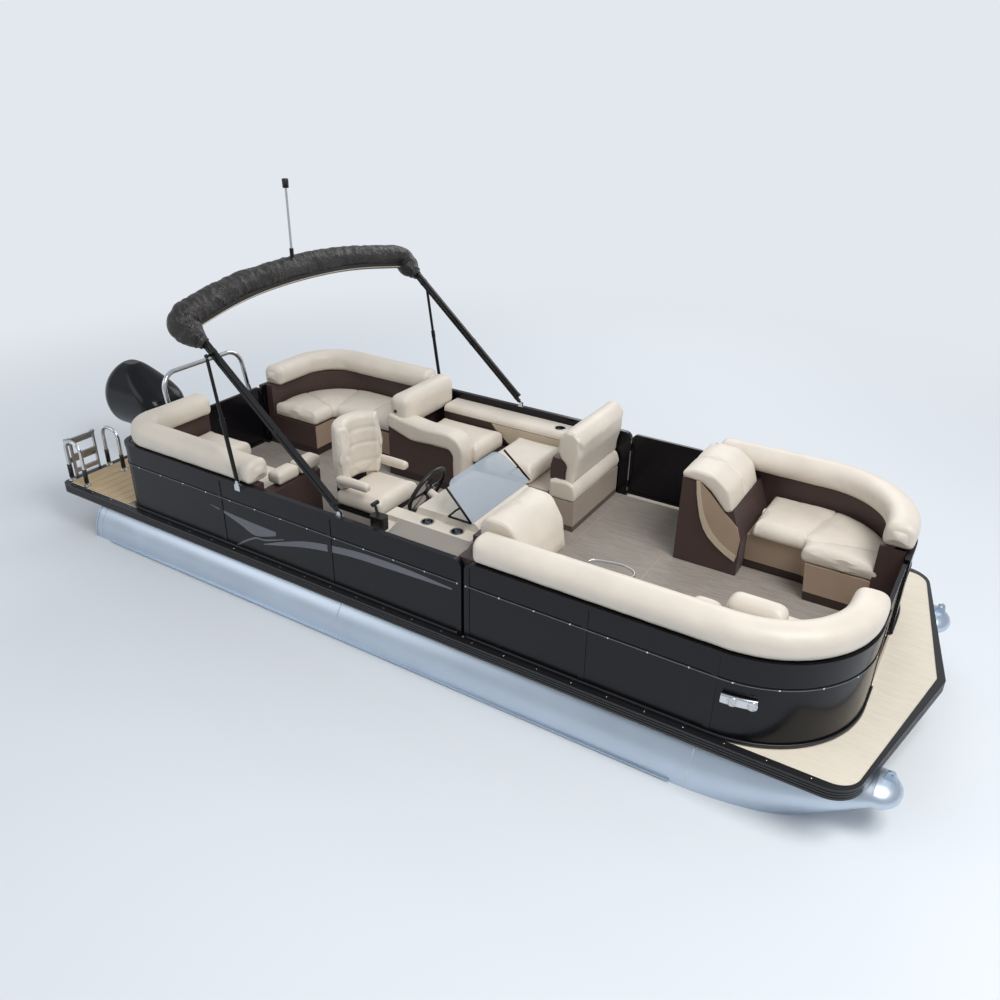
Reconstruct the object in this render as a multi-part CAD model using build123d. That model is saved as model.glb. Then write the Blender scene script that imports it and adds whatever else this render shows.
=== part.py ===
"""Pontoon boat: two tubes, a fenced deck with lounges, a helm, a folded top and an outboard.

Millimetres. +X is the bow, +Y is port, +Z is up. The origin is on the water,
on the centreline, amidships. Starboard pieces have negative Y.
"""
from build123d import *
import os
from math import asin, cos, degrees, radians, sin

os.makedirs("parts", exist_ok=True)

# Overall sizes
DECK_LENGTH = 6900.0
BEAM = 2591.0
HALF_BEAM = BEAM / 2
DECK_TOP = 440.0
DECK_THICKNESS = 30.0
BOW_POINT = 285.0
BOW_CORNER_R = 190.0
STERN_CORNER_R = 70.0
TRIM_WIDTH = 14.0
TRIM_DROP = 76.0
TRIM_LIP = 4.0
TRIM_FLANGE = 50.0
TRIM_GROOVE = 7.0

# Tubes
TUBE_DIA = 635.0
TUBE_Y = HALF_BEAM - 345.5
TUBE_AXIS_Z = 20.0
TUBE_AFT_X = -3130.0
CONE_START_X = 2290.0
NOSE_TIP_X = 3395.0
NOSE_TIP_Z = 275.0
NOSE_LENGTH = 140.0
NOSE_HALF_WIDTH = 150.0
NOSE_HALF_HEIGHT = 84.0
EYE_HOLE_R = 8.0
EYE_T = 12.0
EYE_X = 3312.0
EYE_Z = 396.0
EYE_R = 24.0
RISER_WIDTH = 130.0
CROSS_HEIGHT = 60.0
CROSS_WIDTH = 50.0
CROSS_PITCH = 406.0
KEEL_DROP = 26.0
STRAKE_OUT = 30.0

# Fence
FENCE_Y = HALF_BEAM - 51.5
FENCE_T = 38.0
RAIL_TOP = 1020.0
RAIL_H = 32.0
SKIN_INSET = 4.0
SKIN_T = 8.0
STERN_X = -2620.0
BOW_X = 3070.0
FENCE_BOW_R = 700.0
FENCE_STERN_R = 150.0
SECTION_GAP_X = 690.0
SECTION_GAP = 22.0
END_ROUND = 60.0
BOW_GATE_HALF = 310.0
SIDE_GATE_X = (760.0, 1395.0)
STERN_GATE_Y = (-350.0, 300.0)
GATE_T = 26.0
GATE_GAP = 9.0
GATE_LIFT = 22.0
HINGE_PIN_R = 5.0
HINGE_BARREL_R = 10.0
PIN_CLEARANCE = 0.1

# Lounges
SEAT_GAP = 0.3
BASE_H = 290.0
SEAT_TOP = 860.0
BACK_IN = 46.0
BACK_T = 70.0
ROLL_WIDTH = 210.0
ROLL_TOP = 1198.0
BOW_SEAT_DEPTH = 640.0
ROLL_R = 80.0

# Folded top
TOP_MOUNT_X = -320.0
TOP_MOUNT_Z = 1046.0
TOP_LEG_Y = FENCE_Y - 30
TOP_LEG = 25.0
TWIN = 34.0
TOP_ANGLE = 41.0
TOP_LEG_LENGTH = 1480.0
TOP_ARCH_REACH = 1868.0
POLE_SOCKET_H = 124.0
ARCH_R = 14.0
BOOT_R = 100.0
BOOT_DROOP = 34.0
BOOT_START = 1476.0
BOOT_CUFF_R = 40.0
BOOT_FULL = 1600.0
PIN_R = 6.0
STRUT_EYE = 12.0
STRUT_X = -1235.0
STRUT_Y = FENCE_Y + 21
STRUT_REACH = 1395.0
STRUT_R = 15.0
STRUT_ROD_R = 12.0
STRUT_TUBE = 480.0

# Stern deck and lamps
TOW_X = STERN_X - 380
TOW_HALF = 450.0
TOW_TOP_Z = 1258.0
TOW_R = 21.0
DOCK_LIGHT_X = 2500.0
DOCK_LIGHT_Z = 740.0
DOCK_LIGHT_L = 190.0
DOCK_LIGHT_H = 66.0
DOCK_LIGHT_T = 34.0

# Outboard
TRANSOM_X = -3430.0
TILT_X = -3478.0
TILT_Z = 320.0
SWIVEL_X = -3600.0
COWL_FRONT = -3540.0
COWL_LENGTH = 740.0
COWL_WIDTH = 470.0
COWL_BASE_Z = 470.0
PROP_Z = -500.0
PROP_R = 178.0
PROP_FACE_X = -3900.0
PROP_SHAFT_R = 14.0
TILT_R = 14.0
STEER_R = 25.0
NOTCH_HALF = 330.0
NOTCH_DEPTH = 275.0

AFT_X = -DECK_LENGTH / 2
APEX_X = DECK_LENGTH / 2
CORNER_X = APEX_X - BOW_POINT
TUBE_R = TUBE_DIA / 2
DECK_BOTTOM = DECK_TOP - DECK_THICKNESS
CROSS_BOTTOM = DECK_BOTTOM - CROSS_HEIGHT
BASE_TOP = DECK_TOP + BASE_H

# Motor pod and platform planks
POD_HALF = 330.0
POD_FRONT_X = -2180.0
PLANK_T = 6.0
PLANK_W = 92.0
PLANK_GROOVE = 5.0

# Fence fittings
MID_RAIL_Z = 838.0
HINGE_ZS = (DECK_TOP + 110, RAIL_TOP - 130)
HINGE_OUT = 12.0

# Bow lounges
SB_LOUNGE_X = 640.0
SB_BOW_SEAT_X = 905.0
PB_LOUNGE_X = 1475.0
PB_BACK_X = 1640.0
PB_SEAT_X = 1960.0
PB_DEPTH = 785.0

# Stern lounges
SS_FRONT_X = -1115.0
SS_DEPTH = 600.0
STERN_ROLL_R = 300.0
PORT_STERN_ROLL_R = 480.0
SP_FRONT_X = -1215.0
SP_DEPTH = 620.0

# Companion seat, side ledge and mid lounge
CO_BACK_X = -1205.0
CO_FRONT_X = -365.0
CO_IN_Y = 430.0
CO_ARM = 150.0
LEDGE_IN_Y = FENCE_Y - 259
LEDGE_AFT_X = CO_BACK_X + 212
LEDGE_TOP = 960.0
LEDGE_BOTTOM = 740.0
CUP_R = 42.0
CUP_WALL = 2.0
CUP_DEPTH = 78.0
MP_AFT_X = -205.0
MP_BACK_X = 250.0
MP_FRONT_X = 725.0
MP_IN_Y = 405.0

# Helm
CON_AFT_X = -125.0
CON_FRONT_X = 632.0
CON_OUT_Y = -FENCE_Y + 49
CON_SKIRT_Y = -965.0
CON_STEP_Y = -840.0
CON_IN_Y = -150.0
CON_SHELF_Z = 985.0
CON_SKIRT_Z = 925.0
THROTTLE_Z = 945.0
DASH_Z = 1040.0
WHEEL_HUB = Vector(CON_AFT_X + 90, -600, 1040)
WHEEL_TILT = 24.0
WHEEL_R = 185.0
WHEEL_RIM_R = 15.0
COLUMN_R = 30.0
SHAFT_R = 12.0
WS_BOTTOM_X, WS_TOP_X, WS_TOP_Z = 516.0, 278.0, 1272.0
WS_OUT_Y, WS_IN_Y = CON_STEP_Y - 14, CON_IN_Y + 64
WS_T = 6.0
WS_CORNER_R = 110.0

# Captain's chair
CHAIR_X, CHAIR_Y = -560.0, -560.0
CHAIR_SEAT_Z = 800.0
POST_R = 36.0
CHAIR_BACK_Z = 930.0
CHAIR_TOP_Z = 1432.0
CHAIR_WRAP_R = 272.0
CHAIR_WRAP_T = 104.0

# Light pole and tow bar feet
POLE_TOP_Z = 2890.0
TOW_FOOT_Y = TOW_HALF + 15
TOW_PAD = 6.0

# Boarding ladder
LAD_X = AFT_X + 48
LAD_Y = (-1215.0, -845.0)
LAD_TOP = 835.0
LAD_HINGE = (AFT_X - 26, DECK_TOP - 20)
LAD_RAIL = 24.0
LAD_SPAN = 372.0


def block(x0, x1, y0, y1, z0, z1):
    """A box between two corners."""
    return Pos((x0 + x1) / 2, (y0 + y1) / 2, (z0 + z1) / 2) * Box(x1 - x0, y1 - y0, z1 - z0)


def rounded_block(x0, x1, y0, y1, z0, z1, r):
    """A box whose upright edges are rounded."""
    face = Pos((x0 + x1) / 2, (y0 + y1) / 2, z0) * RectangleRounded(x1 - x0, y1 - y0, r)
    return extrude(face, amount=z1 - z0)


def soft_block(x0, x1, y0, y1, z0, z1, r, edge):
    """A cushion: rounded upright edges and rounded rims."""
    solid = rounded_block(x0, x1, y0, y1, z0, z1, r)
    return fillet(solid.edges().filter_by(Plane.XY), edge)


def side_profile(points, y0, y1):
    """A solid with a side outline in X and Z, between two Y values."""
    face = Plane(origin=(0, y0, 0), x_dir=(1, 0, 0), z_dir=(0, -1, 0)) * make_face(Polyline(*points,
                                                                                            close=True))
    return extrude(face, amount=y1 - y0, dir=(0, 1, 0))


def port(solid):
    """The same solid on the other side of the centreline."""
    return mirror(solid, about=Plane.XZ)


def rect_section(u0, u1, z0, z1, r=0.0):
    """A section of a run: u is measured inboard from the fence's outer face."""
    shape = RectangleRounded(u1 - u0, z1 - z0, r) if r else Rectangle(u1 - u0, z1 - z0)
    return Pos((u0 + u1) / 2, (z0 + z1) / 2) * shape


def run(section, x_start, x_corner, r, y_end, parts="sce"):
    """Carry a section along the starboard fence line, round its corner and across the boat.

    x_corner is the outer face of the crossing stretch. The letters of parts choose
    the straight stretch (s), the corner (c) and the crossing end (e).
    """
    d = 1 if x_corner > x_start else -1
    cx, cy = x_corner - d * r, -FENCE_Y + r
    pieces = []
    side = Plane(origin=(x_start, -FENCE_Y, 0), x_dir=(0, 1, 0), z_dir=(1, 0, 0)) * section
    if "s" in parts:
        pieces.append(extrude(side, amount=abs(cx - x_start), dir=(d, 0, 0)))
    if "c" in parts:
        turned = Plane(origin=(cx, -FENCE_Y, 0), x_dir=(0, 1, 0), z_dir=(1, 0, 0)) * section
        pieces.append(revolve(turned, Axis((cx, cy, 0), (0, 0, d)), 90))
    if "e" in parts:
        across = Plane(origin=(x_corner, cy, 0), x_dir=(-d, 0, 0), z_dir=(0, d, 0)) * section
        pieces.append(extrude(across, amount=y_end - cy, dir=(0, 1, 0)))
    solid = pieces[0]
    for piece in pieces[1:]:
        solid = solid + piece
    return solid


def tube_between(a, b, r):
    """A round bar between two points."""
    a, b = Vector(*a), Vector(*b)
    return extrude(Plane(origin=a, z_dir=b - a) * Circle(r), amount=(b - a).length)


def bar_between(a, b, w, side_dir=(0, 1, 0)):
    """A square bar between two points, one pair of faces square to side_dir."""
    a, b = Vector(*a), Vector(*b)
    return extrude(Plane(origin=a, x_dir=side_dir, z_dir=b - a) * Rectangle(w, w), amount=(b - a).length)


def bent_tube(points, bend, r):
    """A round tube along straight runs with one bend radius."""
    path = FilletPolyline(*points, radius=bend)
    start = Plane(origin=path @ 0, z_dir=path % 0)
    return sweep(start * Circle(r), path=path)


def cross_disc(x, y, z, r, bore, width):
    """A disc with a hole, its axis across the boat."""
    ring = Circle(r) - Circle(bore) if bore else Circle(r)
    return extrude(Plane(origin=(x, y, z), z_dir=(0, 1, 0)) * ring, amount=width / 2, both=True)


def save(node, *solids):
    """Write one node; several solids in it don't touch."""
    if len(solids) == 1:
        shape = solids[0]
    else:
        shape = Compound(children=[s for item in solids for s in item.solids()])
    export_step(shape, f"parts/{node}.step")


def nose_loft(sections, y):
    """A loft forward from the barrel, through (share of the reach, half width, half height, rise) sections."""
    reach = NOSE_TIP_X - NOSE_LENGTH - CONE_START_X
    faces = []
    for share, half_width, half_height, rise in sections:
        plane = Plane(origin=(CONE_START_X + reach * share, y, TUBE_AXIS_Z + rise), x_dir=(0, 1, 0),
                      z_dir=(1, 0, 0))
        faces.append(plane * (Circle(half_width) if half_width == half_height else Ellipse(half_width,
                                                                                           half_height)))
    return loft(Sketch() + faces)


# Tubes with nose cones, keel, spray strake and riser
def pontoon():
    y, z = -TUBE_Y, TUBE_AXIS_Z
    barrel = extrude(Plane(origin=(TUBE_AFT_X, y, z), z_dir=(1, 0, 0)) * Circle(TUBE_R),
                     amount=CONE_START_X - TUBE_AFT_X)
    reach = NOSE_TIP_X - NOSE_LENGTH - CONE_START_X
    tip_z = NOSE_TIP_Z - z
    # Nose sections: share of the reach, half width, half height, centre height
    sections = [
        (0.0, TUBE_R, TUBE_R, 0.0),
        (0.36, 0.87 * TUBE_R, 0.84 * TUBE_R, 0.17 * tip_z),
        (0.72, 0.66 * TUBE_R, 0.52 * TUBE_R, 0.58 * tip_z),
        (1.0, NOSE_HALF_WIDTH, NOSE_HALF_HEIGHT, tip_z),
    ]
    tip_sections = []
    for turn in (0, 30, 55, 75, 88):
        a = radians(turn)
        tip_sections.append((1.0 + NOSE_LENGTH * sin(a) / reach, NOSE_HALF_WIDTH * cos(a),
                             NOSE_HALF_HEIGHT * cos(a), tip_z))
    nose = nose_loft(sections, y) + nose_loft(tip_sections, y)
    riser_top = CROSS_BOTTOM
    riser = block(TUBE_AFT_X + 60, CONE_START_X + 120, y - RISER_WIDTH / 2, y + RISER_WIDTH / 2,
                  z + TUBE_R - 14, riser_top)
    keel = block(TUBE_AFT_X + 120, CONE_START_X, y - 4, y + 4, z - TUBE_R - KEEL_DROP, z - TUBE_R + 12)
    strake = block(TUBE_AFT_X + 200, CONE_START_X - 100, y - TUBE_R - STRAKE_OUT * 0.5, y - TUBE_R + 20,
                   z - 6, z + 2)
    inner_strake = block(TUBE_AFT_X + 200, CONE_START_X - 100, y + TUBE_R - 20, y + TUBE_R + STRAKE_OUT,
                         z - 106, z - 98)
    cap = Plane(origin=(TUBE_AFT_X, y, z), z_dir=(1, 0, 0)) * Circle(TUBE_R + 4)
    rim = extrude(cap, amount=14)
    ear_side = [(EYE_X - 62, NOSE_TIP_Z), (EYE_X + 46, NOSE_TIP_Z), (EYE_X + EYE_R, EYE_Z),
                (EYE_X - EYE_R, EYE_Z)]
    ear = side_profile(ear_side, y - EYE_T / 2, y + EYE_T / 2) + cross_disc(EYE_X, y, EYE_Z, EYE_R, 0, EYE_T)
    solid = barrel + nose + riser + keel + strake + inner_strake + rim + ear
    return solid - cross_disc(EYE_X, y, EYE_Z, EYE_HOLE_R, 0, 3 * EYE_T)


starboard_pontoon = pontoon()
save("pontoon_starboard", starboard_pontoon)
save("pontoon_port", port(starboard_pontoon))


# Channels across the boat that carry the deck
def cross_member(x):
    outer = block(x, x + CROSS_WIDTH, -1180, 1180, CROSS_BOTTOM, DECK_BOTTOM)
    inner = block(x + 6, x + CROSS_WIDTH + 1, -1181, 1181, CROSS_BOTTOM + 6, DECK_BOTTOM - 6)
    return outer - inner


first_cross = TUBE_AFT_X + 150
cross_count = int((CORNER_X - 650 - first_cross) // CROSS_PITCH) + 1
side_channels = [block(first_cross, first_cross + CROSS_PITCH * (cross_count - 1) + CROSS_WIDTH,
                       s * 1186 - 6, s * 1186 + 6,
                       CROSS_BOTTOM, DECK_BOTTOM) for s in (-1, 1)]
cross = side_channels[0] + side_channels[1]
for i in range(cross_count):
    cross = cross + cross_member(first_cross + CROSS_PITCH * i)
save("cross_members", cross)

# Pod that carries the outboard between the tubes
pod_side = [(POD_FRONT_X, CROSS_BOTTOM), (POD_FRONT_X - 620, -120), (TRANSOM_X, -150), (TRANSOM_X, 300),
            (TRANSOM_X + 60, 300), (TRANSOM_X + 90, CROSS_BOTTOM)]
pod = side_profile(pod_side, -POD_HALF, POD_HALF)
save("motor_pod", pod)


# Deck with a shallow pointed bow, rounded corners and a notch for the outboard
def deck_face(inset):
    pts = [(AFT_X + inset, -HALF_BEAM + inset), (CORNER_X - inset * 0.2, -HALF_BEAM + inset),
           (APEX_X - inset, 0),
           (CORNER_X - inset * 0.2, HALF_BEAM - inset), (AFT_X + inset, HALF_BEAM - inset)]
    face = make_face(Polyline(*pts, close=True))
    by_x = face.vertices().sort_by(Axis.X)
    face = fillet(by_x[0:2], STERN_CORNER_R - inset)
    by_x = face.vertices().sort_by(Axis.X)
    face = fillet([v for v in by_x if v.X > CORNER_X - 60 and abs(v.Y) > 200], BOW_CORNER_R - inset)
    apex = face.vertices().sort_by(Axis.X)[-1]
    return fillet([apex], 60)


notch = rounded_block(AFT_X - 60, AFT_X + NOTCH_DEPTH, -NOTCH_HALF, NOTCH_HALF, 0, 600, 40)
outer_face = deck_face(0)
inner_face = deck_face(TRIM_WIDTH)
deck = extrude(Pos(0, 0, DECK_BOTTOM) * inner_face, amount=DECK_THICKNESS) - notch
save("deck", deck)

trim_bottom = DECK_TOP + TRIM_LIP - TRIM_DROP
trim = extrude(Pos(0, 0, trim_bottom) * (outer_face - inner_face), amount=TRIM_DROP)
for k in (0.26, 0.5, 0.74):
    groove = outer_face - deck_face(4)
    trim = trim - extrude(Pos(0, 0, trim_bottom + TRIM_DROP * k - TRIM_GROOVE / 2) * groove,
                          amount=TRIM_GROOVE)
flange = extrude(Pos(0, 0, DECK_TOP) * (deck_face(TRIM_WIDTH - 1) - deck_face(TRIM_FLANGE)), amount=TRIM_LIP)
save("deck_trim", trim + flange - notch)

# Boarding platform planks on the aft deck
plank_x0, plank_x1 = AFT_X + 62, STERN_X - 12
planks = rounded_block(plank_x0, plank_x1, -HALF_BEAM + 62, HALF_BEAM - 62, DECK_TOP, DECK_TOP + PLANK_T, 30)
planks = planks - notch - rounded_block(AFT_X - 60, AFT_X + NOTCH_DEPTH + 46, -NOTCH_HALF - 46,
                                        NOTCH_HALF + 46, 0, 600, 60)
plank_count = int((plank_x1 - plank_x0) // (PLANK_W + PLANK_GROOVE))
for i in range(1, plank_count + 1):
    x = plank_x1 - i * (PLANK_W + PLANK_GROOVE)
    planks = planks - block(x, x + PLANK_GROOVE, -HALF_BEAM, HALF_BEAM, DECK_TOP + PLANK_T - 2.5,
                            DECK_TOP + PLANK_T + 1)
save("platform_planks", planks)


# Fence sections: rails, posts and skins
def fence(x_start, x_corner, r, y_end, posts, parts="sce"):
    full = rect_section(0, FENCE_T, DECK_TOP, RAIL_TOP)
    void = rect_section(-1, FENCE_T + 1, DECK_TOP + RAIL_H, RAIL_TOP - RAIL_H)
    skin = rect_section(SKIN_INSET, SKIN_INSET + SKIN_T, DECK_TOP + RAIL_H - 2, RAIL_TOP - RAIL_H + 2)
    inner = rect_section(FENCE_T - 3, FENCE_T, DECK_TOP + RAIL_H - 2, RAIL_TOP - RAIL_H + 2)
    mid = rect_section(0, SKIN_INSET + 3, MID_RAIL_Z, MID_RAIL_Z + 16)
    rails = run(full, x_start, x_corner, r, y_end, parts) - run(void, x_start, x_corner, r, y_end, parts)
    body = rails
    for section in (skin, inner, mid):
        body = body + run(section, x_start, x_corner, r, y_end, parts)
    for x in posts:
        body = body + block(x, x + FENCE_T, -FENCE_Y, -FENCE_Y + FENCE_T, DECK_TOP, RAIL_TOP)
    return body


gate_post = BOW_GATE_HALF + GATE_GAP


def end_post_y(x0, y):
    """A post at a crossing end, its outer face at y."""
    lo, hi = sorted((y, y - FENCE_T))
    return block(x0 - FENCE_T if x0 > 0 else x0, x0 if x0 > 0 else x0 + FENCE_T, lo, hi, DECK_TOP, RAIL_TOP)


def rounded_ends(x0, x1, round_low, round_high):
    """A tall mask whose top corners at chosen ends are round, seen from the side."""
    face = Pos((x0 + x1) / 2, (DECK_TOP + RAIL_TOP) / 2) * Rectangle(x1 - x0, RAIL_TOP - DECK_TOP)
    tops = [v for v in face.vertices() if v.Y > RAIL_TOP - 1]
    chosen = [v for v in tops if (round_high and v.X > x1 - 1) or (round_low and v.X < x0 + 1)]
    face = fillet(chosen, END_ROUND)
    return extrude(Plane(origin=(0, -2000, 0), x_dir=(1, 0, 0), z_dir=(0, -1, 0)) * face, amount=4000,
                   dir=(0, 1, 0))


# Hinge: a fixed knuckle with a hole, and a pin on the gate that stands in it
def knuckle(x, y, z):
    return Pos(x, y, z) * (Cylinder(HINGE_BARREL_R, 30) - Cylinder(HINGE_PIN_R + PIN_CLEARANCE, 32))


def hinge_pin(x, y, z):
    """A pin through the knuckle, with the shoulder that rests over it."""
    shoulder = Cylinder(HINGE_BARREL_R, 22 - 2 * PIN_CLEARANCE)
    return Pos(x, y, z + 10) * Cylinder(HINGE_PIN_R, 60) + Pos(x, y, z + 27) * shoulder


# Starboard aft section and its stern wing
sb_aft = fence(SECTION_GAP_X, STERN_X, FENCE_STERN_R, STERN_GATE_Y[0] - GATE_GAP,
               [SECTION_GAP_X - FENCE_T, -430, -1500], "sce")
sb_aft = sb_aft & rounded_ends(STERN_X - 1, SECTION_GAP_X, False, True)
sb_aft = sb_aft + end_post_y(STERN_X, STERN_GATE_Y[0] - GATE_GAP)
save("fence_starboard_aft", sb_aft)

# Port aft section up to the side gate, with its stern wing
pt_end = SIDE_GATE_X[0] - GATE_GAP
pt_aft = fence(pt_end, STERN_X, FENCE_STERN_R, -(STERN_GATE_Y[1] + GATE_GAP),
               [pt_end - FENCE_T, -430, -1500], "sce")
pt_aft = pt_aft & rounded_ends(STERN_X - 1, pt_end, False, True)
pt_aft = port(pt_aft + end_post_y(STERN_X, -(STERN_GATE_Y[1] + GATE_GAP)))

# Starboard bow section
sb_start = SECTION_GAP_X + SECTION_GAP
sb_bow = fence(sb_start, BOW_X, FENCE_BOW_R, -gate_post, [sb_start, 1540, 2330], "sce")
sb_bow = sb_bow & rounded_ends(sb_start, BOW_X + 1, True, False)
sb_bow = sb_bow + end_post_y(BOW_X, -gate_post)

# Port bow section
pb_start = SIDE_GATE_X[1] + GATE_GAP
pt_bow = fence(pb_start, BOW_X, FENCE_BOW_R, -gate_post, [pb_start, 2330], "sce")
pt_bow = pt_bow & rounded_ends(pb_start, BOW_X + 1, True, False)
pt_bow = port(pt_bow + end_post_y(BOW_X, -gate_post))


def gate_panel(length):
    """A gate lying along +X from its hinge side, outer face at Y = 0, before it is placed."""
    z0, z1 = DECK_TOP + GATE_LIFT, RAIL_TOP - 4
    face = Pos(length / 2, (z0 + z1) / 2) * Rectangle(length, z1 - z0)
    outer = fillet([v for v in face.vertices() if v.Y > z1 - 1], 55)
    window = Pos(length / 2, (z0 + z1) / 2) * RectangleRounded(length - 2 * GATE_T, z1 - z0 - 2 * GATE_T, 32)
    plane = Plane(origin=(0, 0, 0), x_dir=(1, 0, 0), z_dir=(0, -1, 0))
    frame = extrude(plane * (outer - window), amount=GATE_T, dir=(0, 1, 0))
    skin = extrude(plane * offset(window, 2), amount=6, dir=(0, 1, 0))
    return frame + Pos(0, 8, 0) * skin


# Bow gate, hinged on the starboard post and opening inwards
bow_hinge = (BOW_X - FENCE_T - HINGE_OUT, -BOW_GATE_HALF)
gate_x = BOW_X - FENCE_T
bow_gate = Pos(gate_x + GATE_T, -BOW_GATE_HALF, 0) * Rot(0, 0, 90) * gate_panel(2 * BOW_GATE_HALF)
for z in HINGE_ZS:
    arm = block(bow_hinge[0], gate_x + 4, -BOW_GATE_HALF, -BOW_GATE_HALF + 12, z + 18, z + 37)
    bow_gate = bow_gate + hinge_pin(*bow_hinge, z) + arm
    leaf = block(bow_hinge[0] - 4, gate_x, -gate_post - 6, -BOW_GATE_HALF - HINGE_PIN_R - 1, z - 15, z + 15)
    sb_bow = sb_bow + knuckle(*bow_hinge, z) + leaf
save("fence_starboard_bow", sb_bow)
save("bow_gate", bow_gate)

# Side gate on the port side, hinged on its aft post and opening inwards
side_hinge = (SIDE_GATE_X[0], FENCE_Y - FENCE_T - HINGE_OUT)
side_y = FENCE_Y - FENCE_T
side_gate = Pos(SIDE_GATE_X[0], side_y, 0) * gate_panel(SIDE_GATE_X[1] - SIDE_GATE_X[0])
for z in HINGE_ZS:
    arm = block(side_hinge[0], side_hinge[0] + 12, side_hinge[1], side_y + 4, z + 18, z + 37)
    side_gate = side_gate + hinge_pin(*side_hinge, z) + arm
    leaf = block(pt_end - 6, SIDE_GATE_X[0] - HINGE_PIN_R - 1, side_hinge[1] - 4, side_y, z - 15, z + 15)
    pt_aft = pt_aft + knuckle(*side_hinge, z) + leaf
save("side_gate", side_gate)

# Stern gate, hinged on its port post and opening inwards
stern_hinge = (STERN_X + FENCE_T + HINGE_OUT, STERN_GATE_Y[1])
stern_in = STERN_X + FENCE_T
stern_gate = gate_panel(STERN_GATE_Y[1] - STERN_GATE_Y[0])
stern_gate = Pos(stern_in - GATE_T, STERN_GATE_Y[1], 0) * Rot(0, 0, -90) * stern_gate
for z in HINGE_ZS:
    arm = block(stern_in - 4, stern_hinge[0], STERN_GATE_Y[1] - 12, STERN_GATE_Y[1], z + 18, z + 37)
    stern_gate = stern_gate + hinge_pin(*stern_hinge, z) + arm
    leaf = block(stern_in, stern_hinge[0] + 4, STERN_GATE_Y[1] + HINGE_PIN_R + 1,
                 STERN_GATE_Y[1] + GATE_GAP + 6, z - 15, z + 15)
    pt_aft = pt_aft + knuckle(*stern_hinge, z) + leaf
save("stern_gate", stern_gate)
save("fence_port_aft", pt_aft)
save("fence_port_bow", pt_bow)


# Lounges. Each has a base with a back wall, seat cushions and a roll on the fence.
def roll(x_start, x_corner, r, y_end):
    section = rect_section(0, ROLL_WIDTH, RAIL_TOP + SEAT_GAP, ROLL_TOP, ROLL_R)
    return run(section, x_start, x_corner, r, y_end)


def l_base(x_start, x_corner, r, y_end, depth):
    seat = rect_section(BACK_IN, depth, DECK_TOP, BASE_TOP)
    wall = rect_section(BACK_IN, BACK_IN + BACK_T, BASE_TOP - 2, RAIL_TOP)
    return run(seat, x_start, x_corner, r, y_end) + run(wall, x_start, x_corner, r, y_end)


def l_seat(x_start, x_corner, r, y_end, depth):
    section = rect_section(BACK_IN + BACK_T + 4, depth + 16, BASE_TOP + SEAT_GAP, SEAT_TOP, 30)
    return run(section, x_start, x_corner, r, y_end)


# Starboard bow lounge with a chaise back against the helm
bow_end_y = -420.0
sb_base = l_base(SB_BOW_SEAT_X, BOW_X, FENCE_BOW_R, bow_end_y, BOW_SEAT_DEPTH)
sb_shell = side_profile([(SB_LOUNGE_X, DECK_TOP), (SB_BOW_SEAT_X + 1, DECK_TOP),
                         (SB_BOW_SEAT_X + 1, BASE_TOP),
                         (SB_LOUNGE_X + 90, 1090), (SB_LOUNGE_X, 1090)], -FENCE_Y + BACK_IN, -FENCE_Y + 740)
under_roll = block(0, BOW_X, -FENCE_Y, -FENCE_Y + ROLL_WIDTH + 3, RAIL_TOP, ROLL_TOP + 60)
save("bow_starboard_base", sb_base + (sb_shell - under_roll))
sb_chaise = side_profile([(SB_BOW_SEAT_X + 2, BASE_TOP + 4), (SB_BOW_SEAT_X + 132, BASE_TOP + 136),
                          (SB_LOUNGE_X + 215, 1170),
                          (SB_LOUNGE_X + 60, 1190), (SB_LOUNGE_X + 40, 1090 + SEAT_GAP),
                          (SB_LOUNGE_X + 92, 1090 + SEAT_GAP)],
                         -FENCE_Y + ROLL_WIDTH + 6, -FENCE_Y + 756)
sb_seat = l_seat(SB_BOW_SEAT_X + 140, BOW_X, FENCE_BOW_R, bow_end_y, BOW_SEAT_DEPTH)
sb_roll = roll(SECTION_GAP_X + 40, BOW_X, FENCE_BOW_R, bow_end_y + 24)
save("bow_starboard_cushions", sb_seat, sb_chaise, sb_roll)

# Port bow lounge with a tall back at its aft end
pb_base = port(l_base(PB_SEAT_X, BOW_X, FENCE_BOW_R, bow_end_y, BOW_SEAT_DEPTH))
pb_foot = block(PB_SEAT_X, 2560, FENCE_Y - PB_DEPTH, FENCE_Y - BOW_SEAT_DEPTH + 2, DECK_TOP, BASE_TOP)
pb_shell = side_profile([(PB_LOUNGE_X, DECK_TOP), (PB_SEAT_X + 2, DECK_TOP), (PB_SEAT_X - 110, 560),
                         (PB_SEAT_X - 190, 720),
                         (PB_BACK_X + 50, 1020), (PB_BACK_X, 1120), (PB_LOUNGE_X, 1130)],
                         FENCE_Y - PB_DEPTH, FENCE_Y - BACK_IN)
save("bow_port_base", pb_base + pb_foot + (pb_shell - port(under_roll)))
pb_back = side_profile([(PB_SEAT_X - 100, BASE_TOP + 6), (PB_SEAT_X + 26, BASE_TOP + 134),
                        (PB_BACK_X + 150, 1176), (PB_BACK_X - 20, 1186),
                        (PB_LOUNGE_X + 10, 1150), (PB_LOUNGE_X + 10, 1129.7), (PB_BACK_X + 1.5,
                                                                               1120 + SEAT_GAP),
                                                                               (PB_BACK_X + 54, 1022),
                        (PB_SEAT_X - 186, 724)], FENCE_Y - PB_DEPTH, FENCE_Y - ROLL_WIDTH - 6)
pb_seat = port(l_seat(PB_SEAT_X + 34, BOW_X, FENCE_BOW_R, bow_end_y, PB_DEPTH - 120))
pb_roll = port(roll(PB_LOUNGE_X + 40, BOW_X, FENCE_BOW_R, bow_end_y + 24))
save("bow_port_cushions", pb_seat, pb_back, pb_roll)

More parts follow.
